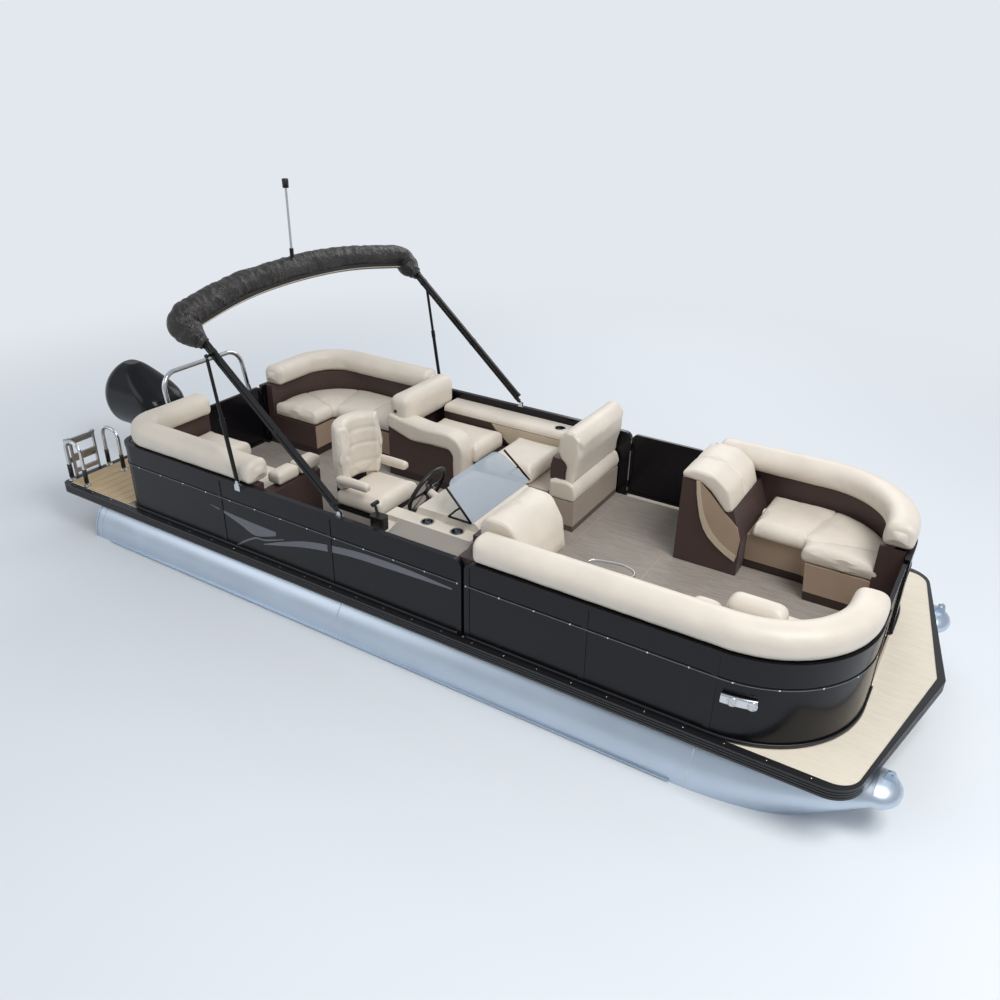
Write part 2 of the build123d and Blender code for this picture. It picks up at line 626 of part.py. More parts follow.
# Starboard stern lounge
ss_end_y = STERN_GATE_Y[0] - 52
ss_base = block(STERN_X + BACK_IN, SS_FRONT_X, -FENCE_Y + BACK_IN, -FENCE_Y + SS_DEPTH, DECK_TOP, BASE_TOP)
ss_base = ss_base + block(STERN_X + BACK_IN, STERN_X + SS_DEPTH, -FENCE_Y + BACK_IN, ss_end_y, DECK_TOP,
                          BASE_TOP)
uprights = ss_base.edges().filter_by(Axis.Z)
ss_base = fillet(uprights.sort_by(lambda e: e.center().X + e.center().Y)[0], FENCE_STERN_R - BACK_IN)
ss_wall = rect_section(BACK_IN, BACK_IN + BACK_T, BASE_TOP - 2, RAIL_TOP)
ss_base = ss_base + run(ss_wall, SS_FRONT_X, STERN_X, FENCE_STERN_R, ss_end_y)
ss_panel = side_profile([(SS_FRONT_X - 60, DECK_TOP), (SS_FRONT_X, DECK_TOP), (SS_FRONT_X, 900),
                         (SS_FRONT_X - 60, 930)],
                        -FENCE_Y + BACK_IN, -FENCE_Y + SS_DEPTH + 100)
save("stern_starboard_base", ss_base + ss_panel)
ss_seat_a = soft_block(STERN_X + SS_DEPTH + 20, SS_FRONT_X - 64, -FENCE_Y + 120, -FENCE_Y + SS_DEPTH + 16,
                       BASE_TOP + SEAT_GAP,
                       SEAT_TOP, 50, 28)
ss_seat_b = soft_block(STERN_X + 120, STERN_X + SS_DEPTH + 16, -FENCE_Y + 120, ss_end_y,
                       BASE_TOP + SEAT_GAP, SEAT_TOP, 50, 28)
ss_arm = soft_block(SS_FRONT_X - 110, SS_FRONT_X + 20, -FENCE_Y + ROLL_WIDTH + 36,
                    -FENCE_Y + SS_DEPTH + 110, 930 + SEAT_GAP, 1030, 40, 30)
ss_roll = roll(SS_FRONT_X, STERN_X, STERN_ROLL_R, ss_end_y)
save("stern_starboard_cushions", ss_seat_a, ss_seat_b, ss_arm, ss_roll)

# Port stern lounge with a wide curved corner
sp_end_y = -(STERN_GATE_Y[1] + 52)
sp_base = run(rect_section(BACK_IN, SP_DEPTH, DECK_TOP, BASE_TOP), SP_FRONT_X, STERN_X, SP_DEPTH + 60,
              sp_end_y)
sp_base = sp_base + run(rect_section(BACK_IN, BACK_IN + BACK_T, BASE_TOP - 2, RAIL_TOP), SP_FRONT_X,
                        STERN_X, SP_DEPTH + 60, sp_end_y)
save("stern_port_base", port(sp_base))
sp_seat = run(rect_section(BACK_IN + BACK_T + 4, SP_DEPTH + 16, BASE_TOP + SEAT_GAP, SEAT_TOP, 30),
              SP_FRONT_X, STERN_X, SP_DEPTH + 60, sp_end_y)
sp_roll = roll(SP_FRONT_X, STERN_X, PORT_STERN_ROLL_R, sp_end_y)
save("stern_port_cushions", port(sp_seat), port(sp_roll))

# Companion seat on the port side, facing forward, with a thick inboard arm
co_base = block(CO_BACK_X, CO_FRONT_X, CO_IN_Y + 90, LEDGE_IN_Y - 6, DECK_TOP, BASE_TOP - 20)
co_side = side_profile([(CO_BACK_X, DECK_TOP), (CO_FRONT_X + 60, DECK_TOP), (CO_FRONT_X + 40, 900),
                        (CO_FRONT_X - 120, 985),
                        (CO_BACK_X, 1040)], CO_IN_Y, CO_IN_Y + 92)
co_wall = block(CO_BACK_X, CO_BACK_X + 70, CO_IN_Y + 90, FENCE_Y - BACK_IN, BASE_TOP - 30, 1028)
save("companion_base", co_base + co_side + co_wall)
co_seat = soft_block(CO_BACK_X + 210, CO_FRONT_X + 20, CO_IN_Y + 96, LEDGE_IN_Y - 10,
                     BASE_TOP - 20 + SEAT_GAP, SEAT_TOP, 50, 30)
co_back = soft_block(CO_BACK_X + 70 + SEAT_GAP, CO_BACK_X + 205, CO_IN_Y + CO_ARM + 6, FENCE_Y - 70,
                     BASE_TOP - 18, 1180, 50, 40)
co_arm = side_profile([(CO_BACK_X, 1040 + SEAT_GAP), (CO_FRONT_X - 120, 985 + SEAT_GAP),
                       (CO_FRONT_X + 42, 902), (CO_FRONT_X + 62, 560),
                       (CO_FRONT_X + 130, 560), (CO_FRONT_X + 128, 900), (CO_FRONT_X + 20,
                                                                          1045), (CO_FRONT_X - 100, 1105),
                       (CO_BACK_X, 1150)], CO_IN_Y - 14, CO_IN_Y + CO_ARM)
arm_tops = [e for e in co_arm.edges() if e.center().Z > 1000 and e.center().X > CO_BACK_X + 5]
co_arm = fillet([e for e in arm_tops if abs(e.tangent_at(0).Y) < 0.5], 30)
save("companion_cushions", co_seat, co_back, co_arm)

# Side ledge between the companion seat and the mid lounge
ledge = block(LEDGE_AFT_X, MP_BACK_X - 4, LEDGE_IN_Y, FENCE_Y - BACK_IN, LEDGE_BOTTOM, LEDGE_TOP)
ledge = fillet(ledge.edges().filter_by(Axis.X).group_by(Axis.Z)[-1].sort_by(Axis.Y)[0], 40)
for x in (LEDGE_AFT_X, CO_FRONT_X + 24, MP_BACK_X - 34):
    ledge = ledge + block(x, x + 30, LEDGE_IN_Y + 12, FENCE_Y - BACK_IN, DECK_TOP, LEDGE_BOTTOM + 1)
ledge_cup = (MP_BACK_X - 110, (LEDGE_IN_Y + FENCE_Y - BACK_IN) / 2)
save("side_ledge", ledge - Pos(*ledge_cup, LEDGE_TOP - CUP_DEPTH / 2) * Cylinder(CUP_R, CUP_DEPTH + 0.01))

# Mid lounge on the port side: a seat facing aft and a ledge facing the bow
mp_base = block(MP_AFT_X, MP_FRONT_X, MP_IN_Y, LEDGE_IN_Y - 4, DECK_TOP, BASE_TOP)
mp_base = mp_base + block(MP_BACK_X, MP_FRONT_X, MP_IN_Y, FENCE_Y - BACK_IN, DECK_TOP, BASE_TOP)
mp_base = mp_base + block(MP_BACK_X + 110, MP_BACK_X + 170, MP_IN_Y + 20, FENCE_Y - BACK_IN, BASE_TOP - 10,
                          1005 - SEAT_GAP)
save("mid_port_base", mp_base)
mp_seat = soft_block(MP_AFT_X + 2, MP_BACK_X + 20, MP_IN_Y - 10, LEDGE_IN_Y - 12, BASE_TOP + SEAT_GAP,
                     SEAT_TOP, 50, 30)
mp_ledge = soft_block(MP_BACK_X + 178, MP_FRONT_X + 12, MP_IN_Y - 6, FENCE_Y - BACK_IN - 4,
                      BASE_TOP + SEAT_GAP, SEAT_TOP + 6, 50, 40)
mp_pad = side_profile([(MP_BACK_X + 24, SEAT_TOP - 110), (MP_BACK_X + 110 - SEAT_GAP, SEAT_TOP - 110),
                       (MP_BACK_X + 110 - SEAT_GAP, 1002),
                       (MP_BACK_X + 24, 1002)],
                      MP_IN_Y + 10, FENCE_Y - BACK_IN - 4)
mp_slope = side_profile([(MP_BACK_X + 170 + SEAT_GAP, SEAT_TOP + 8), (MP_BACK_X + 330, SEAT_TOP + 8),
                         (MP_BACK_X + 232, 1004), (MP_BACK_X + 170 + SEAT_GAP, 1004)],
                        MP_IN_Y + 10, FENCE_Y - BACK_IN - 4)
mp_roll = extrude(Plane(origin=(MP_BACK_X + 110, MP_IN_Y - 12, 1112), x_dir=(1, 0, 0),
                        z_dir=(0, -1, 0)) * RectangleRounded(232, 214, 84),
                  amount=FENCE_Y - BACK_IN - MP_IN_Y + 8, dir=(0, 1, 0))
save("mid_port_cushions", mp_seat, mp_ledge, mp_pad, mp_slope, mp_roll)

# Helm console
con_low = side_profile([(CON_AFT_X + 120, DECK_TOP), (CON_FRONT_X, DECK_TOP), (CON_FRONT_X, 850),
                        (CON_FRONT_X - 60, CON_SHELF_Z),
                        (CON_AFT_X, CON_SHELF_Z), (CON_AFT_X, 860)], CON_SKIRT_Y, CON_STEP_Y)
con_high = side_profile([(CON_AFT_X + 160, DECK_TOP), (CON_FRONT_X, DECK_TOP), (CON_FRONT_X, 960),
                         (CON_FRONT_X - 100, DASH_Z + 6),
                         (CON_AFT_X + 190, DASH_Z), (CON_AFT_X + 130, 880)], CON_STEP_Y - 2, CON_IN_Y)
skirt_face = Plane.YZ * make_face(Polyline((CON_OUT_Y, DECK_TOP), (CON_SKIRT_Y + 1, DECK_TOP),
                                           (CON_SKIRT_Y + 1, CON_SHELF_Z),
                                           (CON_SKIRT_Y, CON_SHELF_Z), (CON_OUT_Y, CON_SKIRT_Z), close=True))
skirt = Pos(CON_AFT_X + 125, 0, 0) * extrude(skirt_face, amount=CON_FRONT_X - 40 - CON_AFT_X - 125)
con_pad = side_profile([(CON_AFT_X + 120, DECK_TOP), (CON_AFT_X + 126, DECK_TOP),
                        (CON_AFT_X + 126, THROTTLE_Z), (CON_AFT_X - 20, THROTTLE_Z),
                        (CON_AFT_X - 20, 860)], CON_OUT_Y, CON_SKIRT_Y + 1)
console_cups = [(185.0, -900.0), (428.0, -900.0)]
console = con_low + con_high + skirt + con_pad
for x, y in console_cups:
    console = console - Pos(x, y, CON_SHELF_Z - CUP_DEPTH / 2) * Cylinder(CUP_R, CUP_DEPTH + 0.01)
column_axis = Vector(-cos(radians(WHEEL_TILT)), 0, sin(radians(WHEEL_TILT)))
column_foot = WHEEL_HUB - column_axis * 110
column = extrude(Plane(origin=column_foot, z_dir=column_axis) * Circle(COLUMN_R), amount=84)
console = console + column
console = console - extrude(Plane(origin=column_foot, z_dir=column_axis) * Circle(SHAFT_R + PIN_CLEARANCE),
                            amount=90)
save("helm_console", console)

# Cup liners: thin steel cups with a rim, in the console and the ledge
cups = []
for x, y, top in [(*console_cups[0], CON_SHELF_Z), (*console_cups[1], CON_SHELF_Z), (*ledge_cup, LEDGE_TOP)]:
    wall = Pos(x, y, top - CUP_DEPTH / 2 + SEAT_GAP) * Cylinder(CUP_R - SEAT_GAP, CUP_DEPTH)
    rim = Pos(x, y, top + 1.5) * Cylinder(CUP_R + 8, 3)
    hollow = Pos(x, y, top - CUP_DEPTH / 2 + CUP_WALL + 10) * Cylinder(CUP_R - SEAT_GAP - CUP_WALL,
                                                                       CUP_DEPTH + 20)
    cups.append(wall + rim - hollow)
save("cup_liners", *cups)

# Steering wheel
wheel_plane = Plane(origin=WHEEL_HUB, z_dir=column_axis)
wheel = wheel_plane * Torus(WHEEL_R, WHEEL_RIM_R)
hub = wheel_plane * Pos(0, 0, -12) * Cylinder(42, 26)
shaft = extrude(Plane(origin=WHEEL_HUB - column_axis * 104, z_dir=column_axis) * Circle(SHAFT_R), amount=96)
wheel = wheel + hub + shaft
for a in (90, 210, 330):
    spoke = wheel_plane * Rot(0, 0, a) * Pos(WHEEL_R / 2 + 12, 0, -4) * Box(WHEEL_R - 24, 30, 7)
    wheel = wheel + spoke
save("steering_wheel", wheel)

# Throttle box and lever on the console's outboard shelf
thr_x, thr_y = CON_AFT_X + 45, CON_OUT_Y + 105
throttle = rounded_block(thr_x - 58, thr_x + 58, thr_y - 40, thr_y + 40, THROTTLE_Z, THROTTLE_Z + 96, 24)
throttle = throttle + tube_between((thr_x, thr_y, THROTTLE_Z + 80), (thr_x - 34, thr_y, THROTTLE_Z + 175), 10)
throttle = throttle + tube_between((thr_x - 34, thr_y + 36, THROTTLE_Z + 175),
                                   (thr_x - 34, thr_y - 24, THROTTLE_Z + 175), 15)
save("throttle", throttle)

# Windscreen, leaning aft over the dash
ws_slope = Vector(WS_TOP_X - WS_BOTTOM_X, 0, WS_TOP_Z - DASH_Z - 6)
ws_plane = Plane(origin=(WS_BOTTOM_X, 0, DASH_Z + 6.3), x_dir=(0, 1, 0),
                 z_dir=ws_slope.cross(Vector(0, 1, 0)))
ws_up = 1 if ws_plane.y_dir.Z > 0 else -1
ws_face = Polyline((WS_OUT_Y, 0), (WS_IN_Y, 0), (WS_IN_Y - 70, ws_up * ws_slope.length),
                   (WS_OUT_Y + 30, ws_up * ws_slope.length), close=True)
ws_face = make_face(ws_face)
ws_face = fillet([v for v in ws_face.vertices() if abs(v.Y) > 1], WS_CORNER_R)
ws = extrude(ws_plane * ws_face, amount=WS_T / 2, both=True)
ws = ws - block(0, 1000, -2000, 2000, 0, DASH_Z + 6.3)
save("windscreen", ws)

# Captain's chair
pedestal = Pos(CHAIR_X, CHAIR_Y, DECK_TOP + 7) * Cylinder(150, 14)
post_top = CHAIR_SEAT_Z - 70 - SEAT_GAP
pedestal = pedestal + Pos(CHAIR_X, CHAIR_Y, (DECK_TOP + post_top) / 2) * Cylinder(POST_R, post_top - DECK_TOP)
save("chair_pedestal", pedestal)
socket = Pos(CHAIR_X, CHAIR_Y, CHAIR_SEAT_Z - 99) * Cylinder(POST_R + 12, 60)
socket = socket - Pos(CHAIR_X, CHAIR_Y, CHAIR_SEAT_Z - 102) * Cylinder(POST_R + PIN_CLEARANCE, 64)
slide = rounded_block(CHAIR_X - 150, CHAIR_X + 150, CHAIR_Y - 120, CHAIR_Y + 120, CHAIR_SEAT_Z - 70,
                      CHAIR_SEAT_Z - 30, 20)
pan = rounded_block(CHAIR_X - 235, CHAIR_X + 230, CHAIR_Y - 230, CHAIR_Y + 230, CHAIR_SEAT_Z - 31,
                    CHAIR_SEAT_Z, 60)
back_shell = block(CHAIR_X - 234, CHAIR_X - 196, CHAIR_Y - 150, CHAIR_Y + 150, CHAIR_SEAT_Z - 1,
                   CHAIR_BACK_Z - SEAT_GAP)
chair = socket + slide + pan + back_shell
save("captain_chair", chair)
ch_seat = soft_block(CHAIR_X - 185, CHAIR_X + 250, CHAIR_Y - 235, CHAIR_Y + 235, CHAIR_SEAT_Z + SEAT_GAP,
                     CHAIR_SEAT_Z + 122, 70, 35)
# The back wraps round the sitter; two padded arms run forward from it
wrap = Circle(CHAIR_WRAP_R) - Circle(CHAIR_WRAP_R - CHAIR_WRAP_T) - Pos(CHAIR_WRAP_R - 96,
                                                                        0) * Rectangle(2 * CHAIR_WRAP_R,
                                                                                       3 * CHAIR_WRAP_R)
ch_back = extrude(Pos(CHAIR_X - 12, CHAIR_Y, CHAIR_BACK_Z) * wrap, amount=CHAIR_TOP_Z - CHAIR_BACK_Z)
ch_back = fillet(ch_back.edges().group_by(Axis.Z)[-1], 34)
for s in (-1, 1):
    y = CHAIR_Y + s * 226
    ch_back = ch_back + soft_block(CHAIR_X - 160, CHAIR_X + 150, y - 34, y + 34, 985, 1052, 30, 20)
save("captain_chair_cushions", ch_seat, ch_back)


# Folded top: legs, arch, boot, light pole and struts
def along(distance, offset=0.0):
    """X and Z of a point up the legs from the mount, offset square to them."""
    a = radians(TOP_ANGLE)
    return (TOP_MOUNT_X - distance * cos(a) + offset * sin(a),
            TOP_MOUNT_Z + distance * sin(a) + offset * cos(a))


def leg_point(distance, y, offset=0.0):
    x, z = along(distance, offset)
    return (x, y, z)


frame = None
STRUT_TOP = leg_point(STRUT_REACH, 0)
for s in (-1, 1):
    leg_y = s * TOP_LEG_Y
    pieces = [bar_between(leg_point(26, leg_y), leg_point(TOP_LEG_LENGTH, leg_y), TOP_LEG),
              bar_between(leg_point(60, leg_y, TWIN), leg_point(TOP_LEG_LENGTH, leg_y, TWIN), TOP_LEG),
              cross_disc(TOP_MOUNT_X, leg_y, TOP_MOUNT_Z, 15, PIN_R + PIN_CLEARANCE, 16),
              bar_between(leg_point(12, leg_y), leg_point(34, leg_y), 16)]
    for k in (72, 700, STRUT_REACH):
        pieces.append(bar_between(leg_point(k, leg_y, -14), leg_point(k, leg_y, TWIN + 14), TOP_LEG + 3))
    pin_end = STRUT_Y - STRUT_EYE / 2 - SEAT_GAP
    pieces.append(cross_disc(STRUT_TOP[0], s * (TOP_LEG_Y + pin_end) / 2, STRUT_TOP[2], 8, 0,
                             pin_end - TOP_LEG_Y))
    for piece in pieces:
        frame = piece if frame is None else frame + piece
# Arch points: distance up the legs, Y, for half of the arch
half_arch = [(TOP_LEG_LENGTH - 20, TOP_LEG_Y), (TOP_LEG_LENGTH + 250, TOP_LEG_Y + 48), (TOP_ARCH_REACH, 620)]


def arch_route(offset):
    """The arch seen square to its plane, a set distance from the line of the legs."""
    points = [leg_point(d, -y, offset) for d, y in half_arch] + [leg_point(TOP_ARCH_REACH + 32, 0, offset)]
    points += [leg_point(d, y, offset) for d, y in reversed(half_arch)]
    return FilletPolyline(*points, radius=(190, 900, 2400, 900, 190))


arch_path = arch_route(TWIN / 2)
arch = sweep(Plane(origin=arch_path @ 0, z_dir=arch_path % 0) * Circle(ARCH_R), path=arch_path)
pole_foot = arch_path @ 0.5
socket = Pos(pole_foot.X, pole_foot.Y, pole_foot.Z + POLE_SOCKET_H / 2) * Cylinder(16, POLE_SOCKET_H)
save("bimini_frame", frame + arch + socket)

# The rolled canvas hangs a little below the arch and tapers onto the legs
boot_path = arch_route(TWIN / 2 - BOOT_DROOP)
boot = sweep(Plane(origin=boot_path @ 0, z_dir=boot_path % 0) * Circle(BOOT_R), path=boot_path)
boot = boot - bar_between(leg_point(TOP_LEG_LENGTH - 200, 0), leg_point(BOOT_FULL, 0), 3000)
for s in (-1, 1):
    low = Plane(origin=leg_point(BOOT_START, s * TOP_LEG_Y, TWIN / 2 - 8),
                z_dir=Vector(*leg_point(1, 0)) - Vector(*leg_point(0, 0)))
    high = Plane(origin=leg_point(BOOT_FULL + 2, s * (TOP_LEG_Y + 24), TWIN / 2 - BOOT_DROOP),
                 z_dir=low.z_dir)
    boot = boot + loft(Sketch() + [low * Circle(BOOT_CUFF_R), high * Circle(BOOT_R)])
    boot = boot - bar_between(leg_point(0, s * TOP_LEG_Y),
                              leg_point(TOP_LEG_LENGTH + SEAT_GAP, s * TOP_LEG_Y), TOP_LEG + 2 * SEAT_GAP)
    boot = boot - bar_between(leg_point(0, s * TOP_LEG_Y, TWIN),
                              leg_point(TOP_LEG_LENGTH + SEAT_GAP, s * TOP_LEG_Y, TWIN),
                              TOP_LEG + 2 * SEAT_GAP)
boot = boot - sweep(Plane(origin=arch_path @ 0, z_dir=arch_path % 0) * Circle(ARCH_R + SEAT_GAP),
                    path=arch_path)
boot = boot - Pos(pole_foot.X, pole_foot.Y, pole_foot.Z + POLE_SOCKET_H) * Cylinder(16 + SEAT_GAP,
                                                                                    2 * POLE_SOCKET_H)
save("bimini_boot", boot)
pole_height = POLE_TOP_Z - pole_foot.Z - POLE_SOCKET_H
pole = Pos(pole_foot.X, pole_foot.Y, POLE_TOP_Z - pole_height / 2) * Cylinder(9, pole_height)
pole = pole + Pos(pole_foot.X, pole_foot.Y, POLE_TOP_Z + 25) * Cylinder(22, 50)
save("light_pole", pole)

# Struts that hold the top up: a lower tube on the rail and a rod that slides in it
strut_foot = (STRUT_X, STRUT_Y, TOP_MOUNT_Z)
strut_head = (STRUT_TOP[0], STRUT_Y, STRUT_TOP[2])
strut_dir = (Vector(*strut_head) - Vector(*strut_foot)).normalized()
strut_span = (Vector(*strut_head) - Vector(*strut_foot)).length


def strut_point(d):
    v = Vector(*strut_foot) + strut_dir * d
    return (v.X, v.Y, v.Z)


sleeve = tube_between(strut_point(19), strut_point(STRUT_TUBE), STRUT_R)
sleeve = sleeve + tube_between(strut_point(8), strut_point(21), 5.5)
sleeve = sleeve + tube_between(strut_point(STRUT_TUBE - 55), strut_point(STRUT_TUBE + 5), STRUT_R + 2.5)
sleeve = sleeve - tube_between(strut_point(25), strut_point(STRUT_TUBE + 10), STRUT_ROD_R + PIN_CLEARANCE)
sleeve = sleeve + cross_disc(*strut_foot, 13, 0, 12) - cross_disc(*strut_foot, PIN_R + PIN_CLEARANCE, 0, 60)
rod = tube_between(strut_point(STRUT_TUBE - 40), strut_point(strut_span - 20), STRUT_ROD_R)
rod = rod + cross_disc(*strut_head, 15, 0, STRUT_EYE)
rod = rod + tube_between(strut_point(strut_span - 24), strut_point(strut_span), 6)
save("strut_tube_port", sleeve)
save("strut_tube_starboard", port(sleeve))
save("strut_rod_port", rod)
save("strut_rod_starboard", port(rod))

# Fittings on the rail that hold the legs and the struts
fittings = []
for x, y, gap in [(TOP_MOUNT_X, TOP_LEG_Y, 17), (STRUT_X, STRUT_Y, 13)]:
    foot = block(x - 26, x + 26, y - gap / 2 - 5, y + gap / 2 + 5, RAIL_TOP, RAIL_TOP + 6)
    for side in (-1, 1):
        ear_y = y + side * (gap / 2 + 2)
        foot = foot + cross_disc(x, ear_y, TOP_MOUNT_Z, 14, 0, 3) + block(x - 14, x + 14, ear_y - 1.5,
                                                                          ear_y + 1.5, RAIL_TOP,
                                                                          TOP_MOUNT_Z)
    if y > FENCE_Y:
        foot = foot + block(x - 26, x + 26, FENCE_Y, y + gap / 2 + 5, RAIL_TOP - 40, RAIL_TOP + 1)
    fittings.append(foot + cross_disc(x, y, TOP_MOUNT_Z, PIN_R, 0, gap + 8))
save("top_fittings", *fittings, *[port(f) for f in fittings])

# Ski tow bar on the stern deck
tow = bent_tube([(TOW_X + 150, -TOW_FOOT_Y, DECK_TOP), (TOW_X, -TOW_HALF, TOW_TOP_Z),
                 (TOW_X, TOW_HALF, TOW_TOP_Z),
                 (TOW_X + 150, TOW_FOOT_Y, DECK_TOP)], 150, TOW_R)
for s in (-1, 1):
    tow = tow + tube_between((TOW_X + 250, s * TOW_FOOT_Y, DECK_TOP), (TOW_X + 58, s * (TOW_HALF + 6), 950),
                             16)
    tow = tow + block(TOW_X + 110, TOW_X + 290, s * TOW_FOOT_Y - 40, s * TOW_FOOT_Y + 40,
                      DECK_TOP + PLANK_T, DECK_TOP + PLANK_T + TOW_PAD)
tow = tow & block(-5000, 0, -1000, 1000, DECK_TOP + PLANK_T, 3000)
save("tow_bar", tow)

# Boarding ladder: handrails on the platform and two folding sections
rail_z = DECK_TOP + PLANK_T
handrails = []
for y in LAD_Y:
    hoop = bent_tube([(LAD_X, y, rail_z), (LAD_X, y, LAD_TOP), (LAD_X + 205, y, LAD_TOP - 10),
                      (LAD_X + 205, y, rail_z)], 90, 15)
    for x in (LAD_X, LAD_X + 205):
        hoop = hoop + Pos(x, y, rail_z + 3) * Cylinder(30, 6)
    handrails.append(hoop)
ladder_y0, ladder_y1 = LAD_Y[0] + 40, LAD_Y[1] - 40
hinge_block = block(AFT_X - 40, AFT_X, ladder_y0 + 34, ladder_y1 - 34, LAD_HINGE[1] - 16, LAD_HINGE[1] + 16)
hinge_block = hinge_block - cross_disc(LAD_HINGE[0], 0, LAD_HINGE[1], 8 + PIN_CLEARANCE, 0, 3000)
save("ladder_handrails", *handrails, hinge_block)


def ladder_section(x, z0, z1, y0, y1, treads):
    """Two side rails and flat slatted treads."""
    body = None
    for y in (y0, y1):
        rail = block(x - LAD_RAIL / 2, x + LAD_RAIL / 2, y - 8, y + 8, z0, z1)
        body = rail if body is None else body + rail
    for z in treads:
        for k in range(3):
            body = body + block(x - LAD_RAIL / 2 + k * 9, x - LAD_RAIL / 2 + k * 9 + 6, y0, y1, z, z + 34)
    return body


upper_top = LAD_HINGE[1] + LAD_SPAN
upper = ladder_section(LAD_HINGE[0], LAD_HINGE[1] - 14, upper_top, ladder_y0 + 12, ladder_y1 - 12,
                       (LAD_HINGE[1] + 150, LAD_HINGE[1] + 310))
upper = upper + cross_disc(LAD_HINGE[0], (ladder_y0 + ladder_y1) / 2, LAD_HINGE[1], 8, 0,
                           ladder_y1 - ladder_y0 - 24)
fold_x = LAD_HINGE[0] + LAD_RAIL / 2 + 6
upper = upper + cross_disc(fold_x, (ladder_y0 + ladder_y1) / 2, upper_top - 6, 7, 0,
                           ladder_y1 - ladder_y0 - 20)
for y in (ladder_y0 + 12, ladder_y1 - 12):
    upper = upper + block(LAD_HINGE[0], fold_x + 7, y - 8, y + 8, upper_top - 16, upper_top + 4)
save("ladder_upper", upper)
lower_x = fold_x + LAD_RAIL / 2 + 6
lower = ladder_section(lower_x, LAD_HINGE[1] + 32, upper_top - 24, ladder_y0 + 34, ladder_y1 - 34,
                       (LAD_HINGE[1] + 60, LAD_HINGE[1] + 196))
for y in (ladder_y0 + 34, ladder_y1 - 34):
    lower = lower + block(fold_x - 4, lower_x + 12, y - 8, y + 8, upper_top - 30, upper_top + 8)
lower = lower - cross_disc(fold_x, 0, upper_top - 6, 7 + PIN_CLEARANCE, 0, 3000)
save("ladder_lower", lower)

# Docking lights let into the bow corners of the fence
lamp_r = FENCE_BOW_R - SKIN_INSET + SEAT_GAP + DOCK_LIGHT_T / 2
lamp_turn = degrees(DOCK_LIGHT_L / FENCE_BOW_R)
lamp_mid = degrees(asin((DOCK_LIGHT_X - BOW_X + FENCE_BOW_R) / FENCE_BOW_R))
section = Plane.XZ * Pos(lamp_r, DOCK_LIGHT_Z) * RectangleRounded(DOCK_LIGHT_T, DOCK_LIGHT_H, 15)
lamp = Rot(0, 0, -90 + lamp_mid - lamp_turn / 2) * revolve(section, Axis.Z, lamp_turn)
lamp = Pos(BOW_X - FENCE_BOW_R, -FENCE_Y + FENCE_BOW_R, 0) * lamp
lights = [lamp, port(lamp)]
save("docking_lights", *lights)


# Outboard: clamp bracket, swivel, leg, cowl and propeller
clamp = block(TRANSOM_X - 16, TRANSOM_X, -120, 120, 30, 300)
for s in (-1, 1):
    cheek = side_profile([(TRANSOM_X, 30), (TRANSOM_X, 345), (TILT_X - 26, 350), (TILT_X - 30, 270),
                          (TRANSOM_X - 40, 30)], 100, 116)
    clamp = clamp + (cheek if s > 0 else port(cheek))
clamp = clamp - cross_disc(TILT_X, 0, TILT_Z, TILT_R + PIN_CLEARANCE, 0, 400)
save("outboard_clamp", clamp)

swivel = cross_disc(TILT_X, 0, TILT_Z, TILT_R, 0, 232) + cross_disc(TILT_X, 0, TILT_Z, 26, 0, 184)
swivel = swivel + side_profile([(TILT_X + 10, 300), (TILT_X + 10, 340), (SWIVEL_X, 360), (SWIVEL_X, -60),
                                (SWIVEL_X + 36, -60),
                                (TILT_X - 34, 250)], -62, 62)
swivel = swivel + Pos(SWIVEL_X, 0, 150) * Cylinder(48, 420)
swivel = swivel - Pos(SWIVEL_X, 0, 150) * Cylinder(STEER_R + PIN_CLEARANCE, 500)
save("outboard_swivel", swivel)

leg = Pos(SWIVEL_X, 0, 160) * Cylinder(STEER_R, 500)
leg = leg + block(SWIVEL_X - 260, SWIVEL_X + 40, -70, 70, 366, 410)
leg = leg + block(SWIVEL_X - 200, SWIVEL_X + 34, -52, 52, -112, -68)
leg_sections = [(410, -3780, 240, 200), (250, -3766, 210, 160), (-40, -3764, 200, 130),
                (-200, -3758, 210, 84),
                (-330, -3755, 250, 70), (PROP_Z, -3755, 170, 40)]
faces = [Plane.XY.offset(z) * Pos(x, 0) * Ellipse(l / 2, w / 2) for z, x, l, w in leg_sections]
leg = leg + loft(Sketch() + faces[:3]) + loft(Sketch() + faces[2:])
plate = Pos(-3800, 0, -340) * extrude(Ellipse(230, 100), amount=10)
torpedo = revolve(Plane.XZ * make_face(Polyline((-3560, PROP_Z), (-3600, PROP_Z + 34), (-3680, PROP_Z + 54),
                                                (PROP_FACE_X, PROP_Z + 52),
                                               (PROP_FACE_X, PROP_Z), close=True)),
                                               Axis((0, 0, PROP_Z), (1, 0, 0)), 360)
skeg = side_profile([(-3660, PROP_Z), (-3830, PROP_Z), (-3870, PROP_Z - 235), (-3800, PROP_Z - 235),
                     (-3740, PROP_Z - 140)], -6, 6)
leg = leg + plate + torpedo + skeg
leg = leg + tube_between((PROP_FACE_X + 2, 0, PROP_Z), (PROP_FACE_X - 90, 0, PROP_Z), PROP_SHAFT_R)
save("outboard_leg", leg)

cowl_mid = COWL_FRONT - COWL_LENGTH / 2
